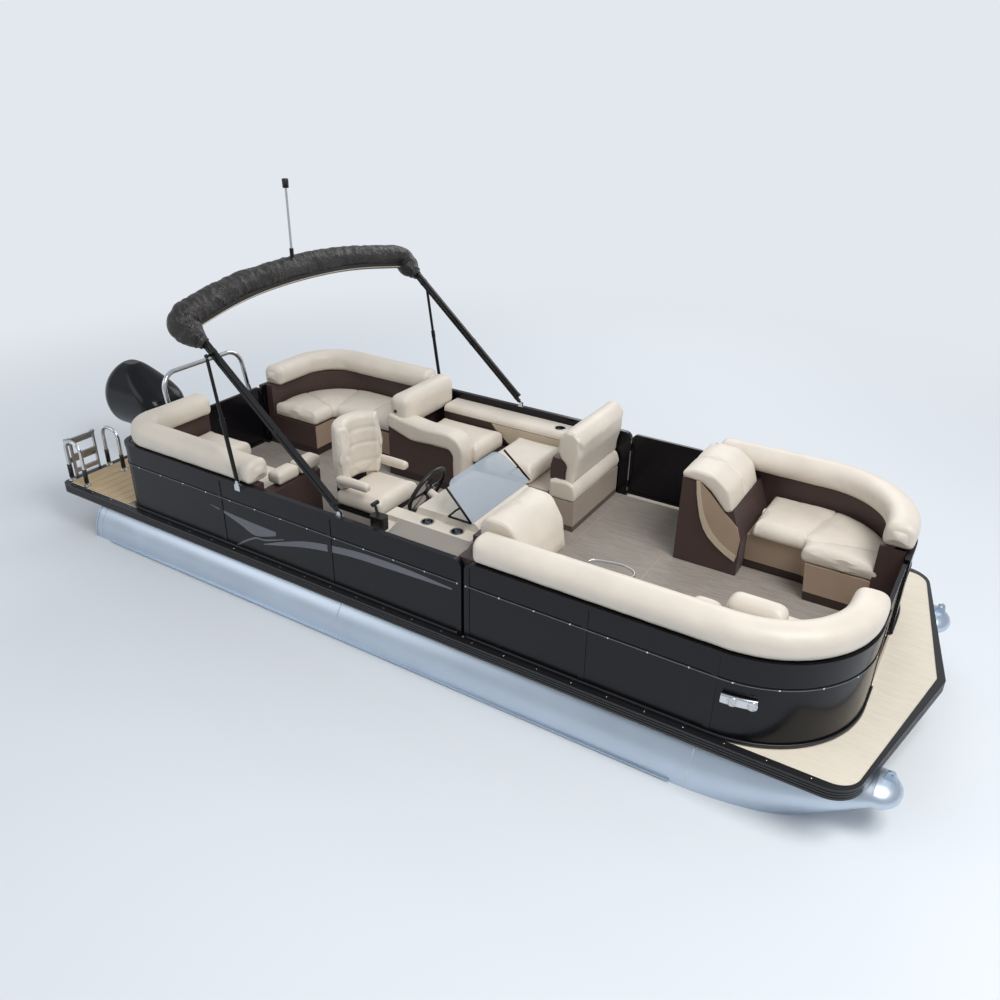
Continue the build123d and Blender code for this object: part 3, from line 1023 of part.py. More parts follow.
# Cowl sections: height over the base, shift of the centre, shares of the length and width, corner radius
cowl_sections = [
    (0, 40, 0.80, 0.66, 70),
    (150, 0, 1.0, 0.97, 130),
    (310, -10, 0.99, 1.0, 150),
    (450, -75, 0.70, 0.80, 140),
    (560, -110, 0.34, 0.46, 90),
    (590, -110, 0.20, 0.26, 50),
]
faces = [Plane.XY.offset(COWL_BASE_Z + z) * Pos(cowl_mid + dx, 0) * RectangleRounded(COWL_LENGTH * l,
                                                                                     COWL_WIDTH * w, r)
         for z, dx, l, w, r in cowl_sections]
cowl = loft(Sketch() + faces)
pan_foot = Plane.XY.offset(410.3) * Pos(-3745, 0) * RectangleRounded(330, 240, 60)
pan_rim = Pos(cowl_mid + 20, 0) * RectangleRounded(COWL_LENGTH * 0.66, COWL_WIDTH * 0.6, 60)
cowl = cowl + loft(Sketch() + [pan_foot, Plane.XY.offset(COWL_BASE_Z + 1) * pan_rim])
save("outboard_cowl", cowl)

prop = Plane(origin=(PROP_FACE_X - 4, 0, PROP_Z), z_dir=(-1, 0, 0)) * Pos(0, 0, 48) * Cylinder(50, 96)
for k in range(3):
    root = Plane(origin=(PROP_FACE_X - 52, 0, PROP_Z), x_dir=(1, 0, 0), z_dir=(0, 0, 1))
    blade_faces = [root.offset(40) * Rot(0, 0, 58) * Ellipse(40, 5),
                   root.offset(110) * Rot(0, 0, 38) * Ellipse(72, 4),
                   root.offset(PROP_R - 2) * Rot(0, 0, 26) * Ellipse(40, 2)]
    blade = loft(Sketch() + blade_faces)
    prop = prop + blade.rotate(Axis((0, 0, PROP_Z), (1, 0, 0)), 120 * k)
prop = prop - tube_between((PROP_FACE_X, 0, PROP_Z), (PROP_FACE_X - 91, 0, PROP_Z),
                           PROP_SHAFT_R + PIN_CLEARANCE)
save("propeller", prop)
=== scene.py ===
"""Pontoon boat: the finishes, upholstery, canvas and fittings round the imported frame.

Metres. +X is the bow, +Y is port, +Z is up, and the water is at Z = 0.
"""

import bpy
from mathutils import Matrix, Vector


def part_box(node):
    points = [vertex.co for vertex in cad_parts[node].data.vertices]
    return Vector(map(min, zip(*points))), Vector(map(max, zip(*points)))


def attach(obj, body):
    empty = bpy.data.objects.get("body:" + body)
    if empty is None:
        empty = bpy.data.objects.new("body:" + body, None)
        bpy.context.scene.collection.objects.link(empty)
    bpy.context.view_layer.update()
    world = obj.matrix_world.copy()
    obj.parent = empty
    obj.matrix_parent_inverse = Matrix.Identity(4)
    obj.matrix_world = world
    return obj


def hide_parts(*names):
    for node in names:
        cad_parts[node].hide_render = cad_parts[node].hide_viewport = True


bl_info = {
    "name": "Pontoon Boat",
    "version": (1, 0, 0),
    "blender": (4, 5, 0),
    "location": "View3D > Sidebar > Boat",
    "description": "Builds a pontoon boat's upholstery, canvas and trim round its frame",
    "category": "Object",
}

from math import cos, exp, pi, radians, sin, tau

import bmesh
import bpy
import numpy as np
from bpy.props import FloatProperty, FloatVectorProperty, PointerProperty
from mathutils import Matrix, Vector, noise

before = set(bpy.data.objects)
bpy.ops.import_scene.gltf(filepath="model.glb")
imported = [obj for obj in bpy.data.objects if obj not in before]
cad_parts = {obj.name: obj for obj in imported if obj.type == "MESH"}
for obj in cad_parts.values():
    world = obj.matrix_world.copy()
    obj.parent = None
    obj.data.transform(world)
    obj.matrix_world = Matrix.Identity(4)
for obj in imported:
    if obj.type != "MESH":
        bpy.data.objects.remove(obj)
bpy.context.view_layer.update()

# Sizes that the pieces share with the frame
FENCE_Y = 1.244
SKIN_Y = FENCE_Y - 0.004
DECK_Z = 0.440
ON_DECK = DECK_Z + 0.0015
BASE_Z = 0.7303
RAIL_Z = 1.020
ROLL_Z = 1.198
BOW_X = 3.070
STERN_X = -2.620
BOW_R = 0.700
TUBE_Y = 0.950
CHAIR = (-0.560, -0.560)
CUPS = ((0.185, -0.900, 0.985), (0.428, -0.900, 0.985), (0.140, 1.0915, 0.960))
POLE_CAP_R = 0.022
# Legs of the top: their pivot in X and Z, and their slope
LEG_FOOT = (-0.320, 1.046)
LEG_TILT = radians(41.0)

AHEAD, PORT, UP = np.eye(3)


def srgb(code):
    """A hex colour as linear red, green, blue and 1."""
    parts = [int(code[i:i + 2], 16) / 255 for i in (1, 3, 5)]
    return [p / 12.92 if p <= 0.04045 else ((p + 0.055) / 1.055) ** 2.4 for p in parts] + [1.0]


def tone(colour, factor=1.0):
    """A hex or linear colour, made lighter or darker."""
    base = srgb(colour) if isinstance(colour, str) else list(colour)
    return [min(1.0, part * factor) for part in base[:3]] + [1.0]


def add(tree, kind, sockets=None, out=None, **settings):
    """One node with its settings, its sockets set or linked; gives the node, or one of its outputs."""
    made = tree.nodes.new(kind)
    for key, value in settings.items():
        setattr(made, key, value)
    connect(tree, made, sockets or {})
    return made if out is None else made.outputs[out]


def connect(tree, made, sockets):
    """Sets or links a node's inputs."""
    for key, value in sockets.items():
        if isinstance(value, bpy.types.NodeSocket):
            tree.links.new(value, made.inputs[key])
        else:
            made.inputs[key].default_value = value


def ramp(tree, factor, stops):
    """A colour ramp through (place, colour) stops."""
    made = add(tree, "ShaderNodeValToRGB", {"Fac": factor})
    while len(made.color_ramp.elements) < len(stops):
        made.color_ramp.elements.new(0.5)
    for element, (place, colour) in zip(made.color_ramp.elements, stops):
        element.position = place
        element.color = colour
    return made.outputs["Color"]


def begin(name):
    """A new material with its tree, shader and Object coordinates."""
    made = bpy.data.materials.new(name)
    made.use_nodes = True
    tree = made.node_tree
    return made, tree, tree.nodes["Principled BSDF"], add(tree, "ShaderNodeTexCoord", out="Object")


def spread(tree, value, low, high):
    """A pattern from 0 to 1, carried to another range."""
    return add(tree, "ShaderNodeMapRange", {"Value": value, "To Min": low, "To Max": high}, "Result")


def seen_by(tree, *rays):
    """1 for rays of the named kinds, and 0 for the others."""
    path = add(tree, "ShaderNodeLightPath").outputs
    seen = path[rays[0]]
    for ray in rays[1:]:
        seen = add(tree, "ShaderNodeMath", {0: seen, 1: path[ray]}, "Value", operation="MAXIMUM")
    return seen


def surface(name, colour, shades, patches, skin, bump, rough, wear=None, stretch=None, **values):
    """A finish whose tone drifts in patches over a fine skin, with more values for the shader.

    patches, skin and wear each hold a noise's scale and detail. The roughness follows wear, or else patches.
    """
    made, tree, shader, coords = begin(name)
    along = coords
    if stretch:
        along = add(tree, "ShaderNodeMapping", {"Vector": coords, "Scale": stretch}, "Vector")

    def speckle(place, scale, detail):
        return add(tree, "ShaderNodeTexNoise", {"Vector": place, "Scale": scale, "Detail": detail}, "Fac")

    cloud, fine = speckle(coords, *patches), speckle(along, *skin)
    worn = speckle(coords, *wear) if wear else cloud
    stops = [(0.3, tone(colour, shades[0])), (0.7, tone(colour, shades[1]))]
    normal = add(tree, "ShaderNodeBump", {"Height": fine, "Strength": bump[0], "Distance": bump[1]}, "Normal")
    connect(tree, shader, {"Base Color": ramp(tree, cloud, stops), "Roughness": spread(tree, worn, *rough),
                           "Normal": normal, **values})
    return made


def powder_coat(name, colour, rough=0.22):
    """Gloss powder-coated aluminium: a hard coat with a faint orange-peel skin and a film of dust."""
    return surface(name, colour, (0.85, 1.15), (1.6, 3.0), (380.0, 1.0), (0.05, 0.0004),
                   (rough - 0.05, rough + 0.1),
                   (9.0, 4.0), **{"Specular IOR Level": 0.25, "Coat Weight": 0.12, "Coat Roughness": 0.08})


def bare_metal(name, colour, rough, stretch=(1.0, 1.0, 1.0), grain=0.3, mottle=0.12):
    """Metal with drawn or brushed lines along one way and a faint handling mottle."""
    return surface(name, colour, (1 - mottle, 1 + mottle), (2.4, 5.0), (260.0, 2.0), (grain, 0.0003),
                   (rough - 0.05, rough + 0.08), stretch=stretch, Metallic=1.0)


def moulded(name, colour, rough=0.4, grain=0.15, size=700.0, coat=0.0):
    """Moulded plastic: even colour with a fine textured skin."""
    return surface(name, colour, (0.94, 1.05), (2.0, 3.0), (size, 2.0), (grain, 0.0005),
                   (rough - 0.05, rough + 0.06), **{"Coat Weight": coat, "Coat Roughness": 0.05})


def marine_vinyl(name, colour, rough=0.42):
    """Coated upholstery fabric: a pebbled skin with a low sheen, uneven in tone, and creased."""
    made, tree, shader, coords = begin(name)
    cloud = add(tree, "ShaderNodeTexNoise", {"Vector": coords, "Scale": 3.0, "Detail": 3.0}, "Fac")
    # Pebbles are 1 mm across on the real vinyl, drawn 2.4 mm across so that they show
    pebble = add(tree, "ShaderNodeTexVoronoi", {"Vector": coords, "Scale": 420.0}, "Distance")
    crease = add(tree, "ShaderNodeTexNoise", {"Vector": coords, "Scale": 14.0, "Detail": 5.0,
                                              "Distortion": 0.7}, "Fac")
    fine = add(tree, "ShaderNodeBump", {"Height": pebble, "Strength": 0.14, "Distance": 0.0006}, "Normal")
    both = add(tree, "ShaderNodeBump", {"Height": crease, "Strength": 0.14, "Distance": 0.006,
                                        "Normal": fine}, "Normal")
    connect(tree, shader, {"Base Color": ramp(tree, cloud,
                                              [(0.3, tone(colour, 0.93)), (0.7, tone(colour, 1.05))]),
                           "Roughness": spread(tree, crease, rough - 0.06, rough + 0.1), "Normal": both,
                           "IOR": 1.5, "Sheen Weight": 0.1, "Sheen Roughness": 0.4})
    return made


def woven_floor(name, colour, outside):
    """Woven vinyl flooring: a flat weave, streaked along the boat, and paler outside the bow's fence."""
    made, tree, shader, coords = begin(name)
    parts = add(tree, "ShaderNodeSeparateXYZ", {"Vector": coords}).outputs

    def reckon(kind, first, second=0.0):
        return add(tree, "ShaderNodeMath", {0: first, 1: second}, "Value", operation=kind)

    # Threads are 3 mm apart on the real floor, drawn 7 mm apart so that they show
    threads = [add(tree, "ShaderNodeTexWave", {"Vector": coords, "Scale": 22.0, "Distortion": 0.8,
                                               "Detail": 1.0,
                                               "Detail Scale": 6.0}, "Fac",
                   bands_direction=way) for way in "XY"]
    along = add(tree, "ShaderNodeMapping", {"Vector": coords, "Scale": (0.12, 1.0, 1.0)}, "Vector")
    streak = add(tree, "ShaderNodeTexNoise", {"Vector": along, "Scale": 60.0, "Detail": 5.0}, "Fac")
    mixed = reckon("ADD", reckon("MULTIPLY", *threads), streak)
    inner = ramp(tree, mixed, [(0.35, tone(colour, 0.62)), (1.0, tone(colour, 1.12))])
    outer = ramp(tree, streak, [(0.3, tone(outside, 0.94)), (0.7, tone(outside, 1.03))])
    # How far a point lies past the centres of the bow fence's round corners
    past = [reckon("POWER", reckon("MAXIMUM", reckon("SUBTRACT", value, centre)), 2.0)
            for value, centre in ((parts["X"], BOW_X - BOW_R),
                                  (reckon("ABSOLUTE", parts["Y"]), FENCE_Y - BOW_R))]
    beyond = reckon("GREATER_THAN", reckon("ADD", *past), (BOW_R - 0.01) ** 2)
    colours = add(tree, "ShaderNodeMix", {0: beyond, 6: inner, 7: outer}, 2, data_type="RGBA")
    bump = add(tree, "ShaderNodeBump", {"Height": mixed, "Strength": 0.3, "Distance": 0.001}, "Normal")
    connect(tree, shader, {"Base Color": colours, "Roughness": 0.62, "Normal": bump})
    return made


def banded(name, upper, lower, height, rough=0.45):
    """Two-tone upholstered panelling: vinyl above a height, a darker kick panel below it."""
    made = marine_vinyl(name, upper, rough)
    tree = made.node_tree
    shader = tree.nodes["Principled BSDF"]
    colour = shader.inputs["Base Color"].links[0].from_socket
    coords = next(n for n in tree.nodes if n.type == "TEX_COORD").outputs["Object"]
    z = add(tree, "ShaderNodeSeparateXYZ", {"Vector": coords}, "Z")
    below = add(tree, "ShaderNodeMath", {0: z, 1: height}, "Value", operation="LESS_THAN")
    mixed = add(tree, "ShaderNodeMix", {0: below, 6: colour, 7: tone(lower)}, 2, data_type="RGBA")
    connect(tree, shader, {"Base Color": mixed})
    return made


def boat_canvas(name, colour):
    """Solution-dyed acrylic canvas: matt plain-woven cloth, dark, with brighter brown patches painted in at
    random as highlights of lit fold tops.
    """
    made, tree, shader, coords = begin(name)
    cloud = add(tree, "ShaderNodeTexNoise", {"Vector": coords, "Scale": 7.0, "Detail": 5.0}, "Fac")
    weave = add(tree, "ShaderNodeTexNoise", {"Vector": coords, "Scale": 600.0, "Detail": 1.0}, "Fac")
    rumple = add(tree, "ShaderNodeTexNoise", {"Vector": coords, "Scale": 30.0, "Detail": 4.0,
                                              "Distortion": 1.4}, "Fac")
    fine = add(tree, "ShaderNodeBump", {"Height": weave, "Strength": 0.25, "Distance": 0.0006}, "Normal")
    both = add(tree, "ShaderNodeBump", {"Height": rumple, "Strength": 0.8, "Distance": 0.012, "Normal": fine},
               "Normal")
    # The tone drifts from dark to a brighter brown in random patches: painted highlights standing for the lit
    # tops of folds
    connect(tree, shader, {"Base Color": ramp(tree, cloud,
                                              [(0.3, tone(colour, 0.6)), (0.72, tone(colour, 1.9))]),
                           "Roughness": spread(tree, rumple, 0.28, 0.48), "Normal": both,
                           "Sheen Weight": 0.08, "Sheen Roughness": 0.3, "Sheen Tint": tone("#B59A80")})
    return made


def acrylic_sheet(name, colour, alpha=0.55):
    """Tinted acrylic sheet: clear, smooth and slightly milky from wear."""
    made, tree, shader, coords = begin(name)
    cloud = add(tree, "ShaderNodeTexNoise", {"Vector": coords, "Scale": 5.0, "Detail": 2.0}, "Fac")
    connect(tree, shader, {"Base Color": tone(colour), "Roughness": spread(tree, cloud, 0.05, 0.16),
                           "Alpha": alpha, "IOR": 1.49})
    return made


MATERIALS = {}


def keep(made, material, body, stands_for=(), smooth=True, levels=0):
    """Gives a finished piece its material, body and slot."""
    made.data.materials.clear()
    made.data.materials.append(MATERIALS[material])
    if smooth:
        made.data.shade_smooth()
    if levels:
        rounder = made.modifiers.new("Rounder", "SUBSURF")
        rounder.levels = rounder.render_levels = levels
    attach(made, body)
    if stands_for:
        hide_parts(*stands_for)
    return made


def new_mesh(name, verts, faces):
    """An object with a closed mesh whose normals point out."""
    work = bmesh.new()
    points = [work.verts.new(tuple(v)) for v in verts]
    for f in faces:
        if len(set(f)) > 2:
            work.faces.new([points[i] for i in f])
    bmesh.ops.remove_doubles(work, verts=work.verts, dist=1e-6)
    bmesh.ops.triangulate(work, faces=[f for f in work.faces if len(f.verts) > 4])
    bmesh.ops.recalc_face_normals(work, faces=work.faces)
    mesh = bpy.data.meshes.new(name)
    work.to_mesh(mesh)
    work.free()
    made = bpy.data.objects.new(name, mesh)
    bpy.context.scene.collection.objects.link(made)
    return made


def piece(name, forms, material, body, stands_for=(), smooth=True):
    """One piece from its forms, each a list of vertices and a list of faces."""
    verts, faces = [], []
    for more, sides in forms:
        first = len(verts)
        verts.extend([tuple(v) for v in more])
        faces.extend([[first + i for i in f] for f in sides])
    return keep(new_mesh(name, verts, faces), material, body, stands_for, smooth)


def loop_faces(rings, count, closed=False):
    """Quads between rings of equal counts, and a cap at each open end."""
    faces = []
    for i in range(rings if closed else rings - 1):
        for j in range(count):
            a, b = i * count + j, i * count + (j + 1) % count
            c, d = ((i + 1) % rings) * count + (j + 1) % count, ((i + 1) % rings) * count + j
            faces.append([a, b, c, d])
    if not closed:
        faces += [list(range(count)), [(rings - 1) * count + j for j in range(count)]]
    return faces


def fence_line(x_start, x_corner, r, y_end, side=-1, step=0.03):
    """Points and inboard directions along a fence line: straight, round its corner, then across the boat."""
    d = 1 if x_corner > x_start else -1
    cx, cy = x_corner - d * r, -FENCE_Y + r
    points, inwards = [], []
    count = max(2, int(abs(cx - x_start) / step))
    for k in range(count):
        points.append((x_start + (cx - x_start) * k / count, -FENCE_Y))
        inwards.append((0.0, 1.0))
    count = max(8, int(r * pi / 2 / step))
    for k in range(count + 1):
        a = pi / 2 * k / count
        points.append((cx + d * r * sin(a), cy - r * cos(a)))
        inwards.append((-d * sin(a), cos(a)))
    count = max(2, int((y_end - cy) / step))
    for k in range(1, count + 1):
        points.append((x_corner, cy + (y_end - cy) * k / count))
        inwards.append((-d, 0.0))
    points, inwards = np.array(points), np.array(inwards)
    if side > 0:
        points[:, 1] *= -1
        inwards[:, 1] *= -1
    return points, inwards


def lengths_of(points):
    return np.concatenate([[0], np.cumsum(np.linalg.norm(np.diff(points, axis=0), axis=1))])


def resample(points, at):
    """Values along a line at chosen distances."""
    lengths = lengths_of(points[:, :2] if points.shape[1] == 4 else points)
    return np.stack([np.interp(at, lengths, points[:, k]) for k in range(points.shape[1])], axis=1)


def round_section(outline, radius, count=44):
    """A closed smooth section through a polygon with rounded corners, evenly spaced."""
    pts = []
    n = len(outline)
    for i in range(n):
        before, here, after = (np.array(outline[(i + k) % n], float) for k in (-1, 0, 1))
        r = radius[i] if isinstance(radius, (list, tuple)) else radius
        into, out = before - here, after - here
        li, lo = np.linalg.norm(into), np.linalg.norm(out)
        into, out = into / li, out / lo
        half = np.arccos(np.clip(np.dot(into, out), -1, 1)) / 2
        cut = min(r / np.tan(half), 0.49 * li, 0.49 * lo)
        for k in range(9):
            t = k / 8
            start, end = here + into * cut, here + out * cut
            pts.append((1 - t) ** 2 * start + 2 * t * (1 - t) * here + t ** 2 * end)
    pts = np.array(pts + [pts[0]])
    lengths = lengths_of(pts)
    at = np.linspace(0, lengths[-1], count, endpoint=False)
    return np.stack([np.interp(at, lengths, pts[:, k]) for k in range(2)], axis=1)


def section_normals(section):
    """Unit directions out of a closed section."""
    ahead = np.roll(section, -1, axis=0) - np.roll(section, 1, axis=0)
    out = np.stack([ahead[:, 1], -ahead[:, 0]], axis=1)
    out /= np.maximum(np.linalg.norm(out, axis=1), 1e-9)[:, None]
    turn = np.sum(section[:, 0] * np.roll(section[:, 1], -1) - np.roll(section[:, 0], -1) * section[:, 1])
    return out if turn > 0 else -out


def ripple(v, scale, seed):
    return noise.noise(Vector((v[0] * scale + seed, v[1] * scale - seed, v[2] * scale + 2 * seed)))


def sewn_form(line, inwards, section, seams=(), edge=0.03, puff=0.012, seam_depth=0.007, crown=0.004,
              wrinkle=0.0014, seed=1.0, step=0.022):
    """A padded form: a closed section (inboard, up) carried along a line, with sewn seams and rounded ends.

    Returns its vertices, its faces and the vertices that a simulation holds: the seams and the underside.
    """
    total = lengths_of(line)[-1]
    inner = np.linspace(edge + puff, total - edge - puff, max(3, int(total / step)) + 1)
    stations = set(inner)
    for s in seams:
        stations |= {s + off for off in (-0.028, -0.016, -0.008, 0, 0.008, 0.016, 0.028)}
    stations = sorted(s for s in stations if inner[0] <= s <= inner[-1])
    section = np.array(section)
    normals = section_normals(section)
    middle = section.mean(axis=0)
    marks = [inner[0]] + sorted(seams) + [inner[-1]]
    rings = []
    # Each ring: station, reach past it, inset of the section, share of its size
    for a in (90, 72, 54, 36, 18):
        rings.append((inner[0], -edge * sin(radians(a)), edge * (1 - cos(radians(a))), 1.0))
    # A flat end is one closed face; a domed end shrinks to a small ring, and turns rounder as it does
    domed = (0.12, 0.4, 0.7, 0.9) if puff else ()
    rings = [(inner[0], -edge - puff * (1 - f * f), edge, f) for f in domed] + rings
    body = len(rings)
    for s in stations:
        nearest = min((abs(s - e) for e in marks[1:-1]), default=1.0)
        lo = max(e for e in marks if e <= s + 1e-9)
        hi = min((e for e in marks if e > s + 1e-9), default=marks[-1])
        t = (s - lo) / (hi - lo) if hi > lo else 0.5
        bulge = crown * (4 * t * (1 - t)) ** 0.6 if 0 < t < 1 else 0.0
        rings.append((s, 0.0, crown - bulge + seam_depth * exp(-(nearest / 0.008) ** 2), 1.0))
    for a in (18, 36, 54, 72, 90):
        rings.append((inner[-1], edge * sin(radians(a)), edge * (1 - cos(radians(a))), 1.0))
    rings += [(inner[-1], edge + puff * (1 - f * f), edge, f) for f in domed[::-1]]
    at = np.array([s for s, _, _, _ in rings])
    both = np.concatenate([line, inwards], axis=1)
    placed = resample(both, at)
    later, sooner = (resample(both, np.clip(at + off, 0, total))[:, :2] for off in (0.004, -0.004))
    ahead = later - sooner
    ahead /= np.linalg.norm(ahead, axis=1)[:, None]
    verts, held = [], []
    low = section[:, 1].min()
    for i, (s, past, inset, share) in enumerate(rings):
        point, inward = placed[i, :2], placed[i, 2:] / np.linalg.norm(placed[i, 2:])
        away = section - normals * inset - middle
        far = np.linalg.norm(away, axis=1)[:, None]
        shape = middle + away * share * (share + (1 - share) * far.mean() / far)
        sewn = body <= i < len(rings) - body and min((abs(s - e) for e in marks[1:-1]), default=1.0) < 0.009
        for (u, z), (_, z0) in zip(shape, section):
            if sewn or z0 < low + 0.004 or i in (0, len(rings) - 1):
                held.append(len(verts))
            verts.append([*(point + inward * u + ahead[i] * past), z])
    verts = np.array(verts)
    if wrinkle:
        centres = verts.reshape(len(rings), -1, 3).mean(axis=1).repeat(len(section), axis=0)
        outward = verts - centres
        outward /= np.maximum(np.linalg.norm(outward, axis=1), 1e-6)[:, None]
        along = at.repeat(len(section))
        for i, v in enumerate(verts):
            near = min(abs(along[i] - e) for e in marks)
            uneven = ripple(v, 9, seed) + 0.5 * ripple(v, 24, seed + 3)
            verts[i] = v + outward[i] * wrinkle * (1 + 1.6 * exp(-near / 0.05)) * uneven
    return verts, loop_faces(len(rings), len(section)), held


def padded_box(low, high, r, cells=(22, 18, 6), crown=0.014, pull=0.006):
    """A cushion between two corners: rounded rims, a crowned top, and sides that pull in between the corners.

    Returns its vertices, its faces and the vertices of its underside.
    """
    low, high = np.array(low), np.array(high)
    verts, faces, held = [], [], []
    for axis in range(3):
        a, b = [k for k in range(3) if k != axis]
        for end in (0, 1):
            first = len(verts)
            for i in range(cells[a] + 1):
                for j in range(cells[b] + 1):
                    share = np.zeros(3)
                    share[axis], share[a], share[b] = end, i / cells[a], j / cells[b]
                    share = (1 - np.cos(share * pi)) * 0.25 + share * 0.5
                    point = low + share * (high - low)
                    core = np.clip(point, low + r, high - r)
                    away = point - core
                    point = core + away / max(np.linalg.norm(away), 1e-9) * r
                    wave = 4 * share * (1 - share)
                    point[2] += crown * (share[2] - 0.3) * (wave[0] * wave[1]) ** 0.6
                    point[0] -= (share[0] - 0.5) * 2 * pull * wave[1]
                    point[1] -= (share[1] - 0.5) * 2 * pull * wave[0]
                    if axis == 2 and end == 0:
                        held.append(len(verts))
                    verts.append(point)
            for i in range(cells[a]):
                for j in range(cells[b]):
                    k = first + i * (cells[b] + 1) + j
                    faces.append([k, k + 1, k + cells[b] + 2, k + cells[b] + 1])
    return verts, faces, held


def tube(points, r, sides=8, closed=False):
    """A round tube through points, such as piping, a rail or a weld; r may change along it."""
    pts = np.array(points, float)
    n = len(pts)
    radii = np.full(n, r) if np.isscalar(r) else np.array(r)
    ahead = np.roll(pts, -1, axis=0) - np.roll(pts, 1, axis=0)
    if not closed:
        ahead[0], ahead[-1] = pts[1] - pts[0], pts[-1] - pts[-2]
    ahead /= np.maximum(np.linalg.norm(ahead, axis=1), 1e-9)[:, None]
    up = np.array([0.0, 0.0, 1.0]) if abs(ahead[0][2]) < 0.9 else np.array([1.0, 0.0, 0.0])
    verts = []
    for p, t, radius in zip(pts, ahead, radii):
        side = np.cross(t, up)
        side /= max(np.linalg.norm(side), 1e-9)
        up = np.cross(side, t)
        for k in range(sides):
            a = tau * k / sides
            verts.append(p + radius * (cos(a) * side + sin(a) * up))
    return verts, loop_faces(n, sides, closed)


def strip(line, inwards, section):
    """A closed section (inboard, up) carried along a line with flat ends, for trim and panels."""
    verts = [[*(np.array(p) + np.array(n) * u), z] for p, n in zip(line, inwards) for u, z in section]
    return verts, loop_faces(len(line), len(section))


def plate(outline, y, thick):
    """A flat plate with a side outline in X and Z, its face at y and its thickness towards more y."""
    n = len(outline)
    verts = [(x, y, z) for x, z in outline] + [(x, y + thick, z) for x, z in outline]
    faces = [list(range(n)), list(range(n, 2 * n))]
    faces += [[i, (i + 1) % n, n + (i + 1) % n, n + i] for i in range(n)]
    return verts, faces


def block(low, high):
    """A box between two corners."""
    (x0, y0, z0), (x1, y1, z1) = low, high
    return plate(oblong(x0, x1, z0, z1), y0, y1 - y0)


def oblong(u0, u1, z0, z1):
    """The corners of a four-sided section."""
    return [(u0, z0), (u1, z0), (u1, z1), (u0, z1)]


def circle(centre, across, up, r, count):
    """Points round a circle in the plane of two directions."""
    turns = np.linspace(0, tau, count, endpoint=False)
    return [np.array(centre) + (across * cos(a) + up * sin(a)) * r for a in turns]


def dome(centre, out, across, up, r, height, rings, count):
    """A shallow dome on a circle, from its top ring to its rim."""
    verts = [p + out * height * cos(b) for b in np.linspace(0.05, pi / 2, rings)
             for p in circle(centre, across, up, r * sin(b), count)]
    return verts, loop_faces(rings, count)


def round_path(ahead, up):
    """Unit directions across a path and over it."""
    side = np.cross(ahead, up)
    side /= np.linalg.norm(side)
    return side, np.cross(side, ahead)


def smooth_line(points, count=6):
    """More points along a smooth curve through the given ones."""
    pts = np.array([points[0], *points, points[-1]])
    out = []
    for a, b, c, d in zip(pts, pts[1:], pts[2:], pts[3:]):
        for t in np.arange(count) / count:
            out.append(0.5 * (2 * b + (c - a) * t + (2 * a - 5 * b + 4 * c - d) * t ** 2
                              + (3 * b - a - 3 * c + d) * t ** 3))
    return out + [pts[-1]]


FILL_FRAMES = 20
PAD_CELL = 0.026


def fill_out(made, held, settings):
    """Inflates a cushion by a short cloth simulation, with its seams and underside held."""
    scene = bpy.context.scene
    mesh = made.data
    before = np.array([v.co[:] for v in mesh.vertices])
    lookup = {tuple(np.round(v, 5)): i for i, v in enumerate(before)}
    pinned = [lookup[key] for key in {tuple(np.round(v, 5)) for v in held} if key in lookup]
    made.vertex_groups.new(name="sewn").add(pinned, 1.0, "REPLACE")
    filling = made.modifiers.new("Filling", "CLOTH")
    cloth = filling.settings
    cloth.quality = 5
    cloth.use_pressure = True
    cloth.uniform_pressure_force = settings.pressure
    cloth.vertex_group_mass = "sewn"
    cloth.tension_stiffness = cloth.compression_stiffness = 30
    cloth.bending_stiffness = 2
    cloth.effector_weights.gravity = 0
    filling.collision_settings.use_collision = False
    filling.point_cache.frame_end = FILL_FRAMES
    for number in range(1, FILL_FRAMES + 1):
        scene.frame_set(number)
    settled = made.evaluated_get(bpy.context.evaluated_depsgraph_get()).to_mesh()
    after = np.array([v.co[:] for v in settled.vertices])
    made.modifiers.remove(filling)
    made.vertex_groups.clear()
    scene.frame_set(1)
    moved = after - before
    far = np.linalg.norm(moved, axis=1)
    capped = before + moved * np.minimum(1, settings.swell / np.maximum(far, 1e-9))[:, None]
    mesh.vertices.foreach_set("co", capped.ravel())
    mesh.update()


def cushion(name, form, node, settings, body="boat"):
    """A padded piece in cream vinyl that stands for a node: its form, filled out and finished."""
    verts, faces, held = form
    made = new_mesh(name, verts, faces)
    fill_out(made, [verts[i] for i in held], settings)
    keep(made, "cream_vinyl", body, [node], levels=1)


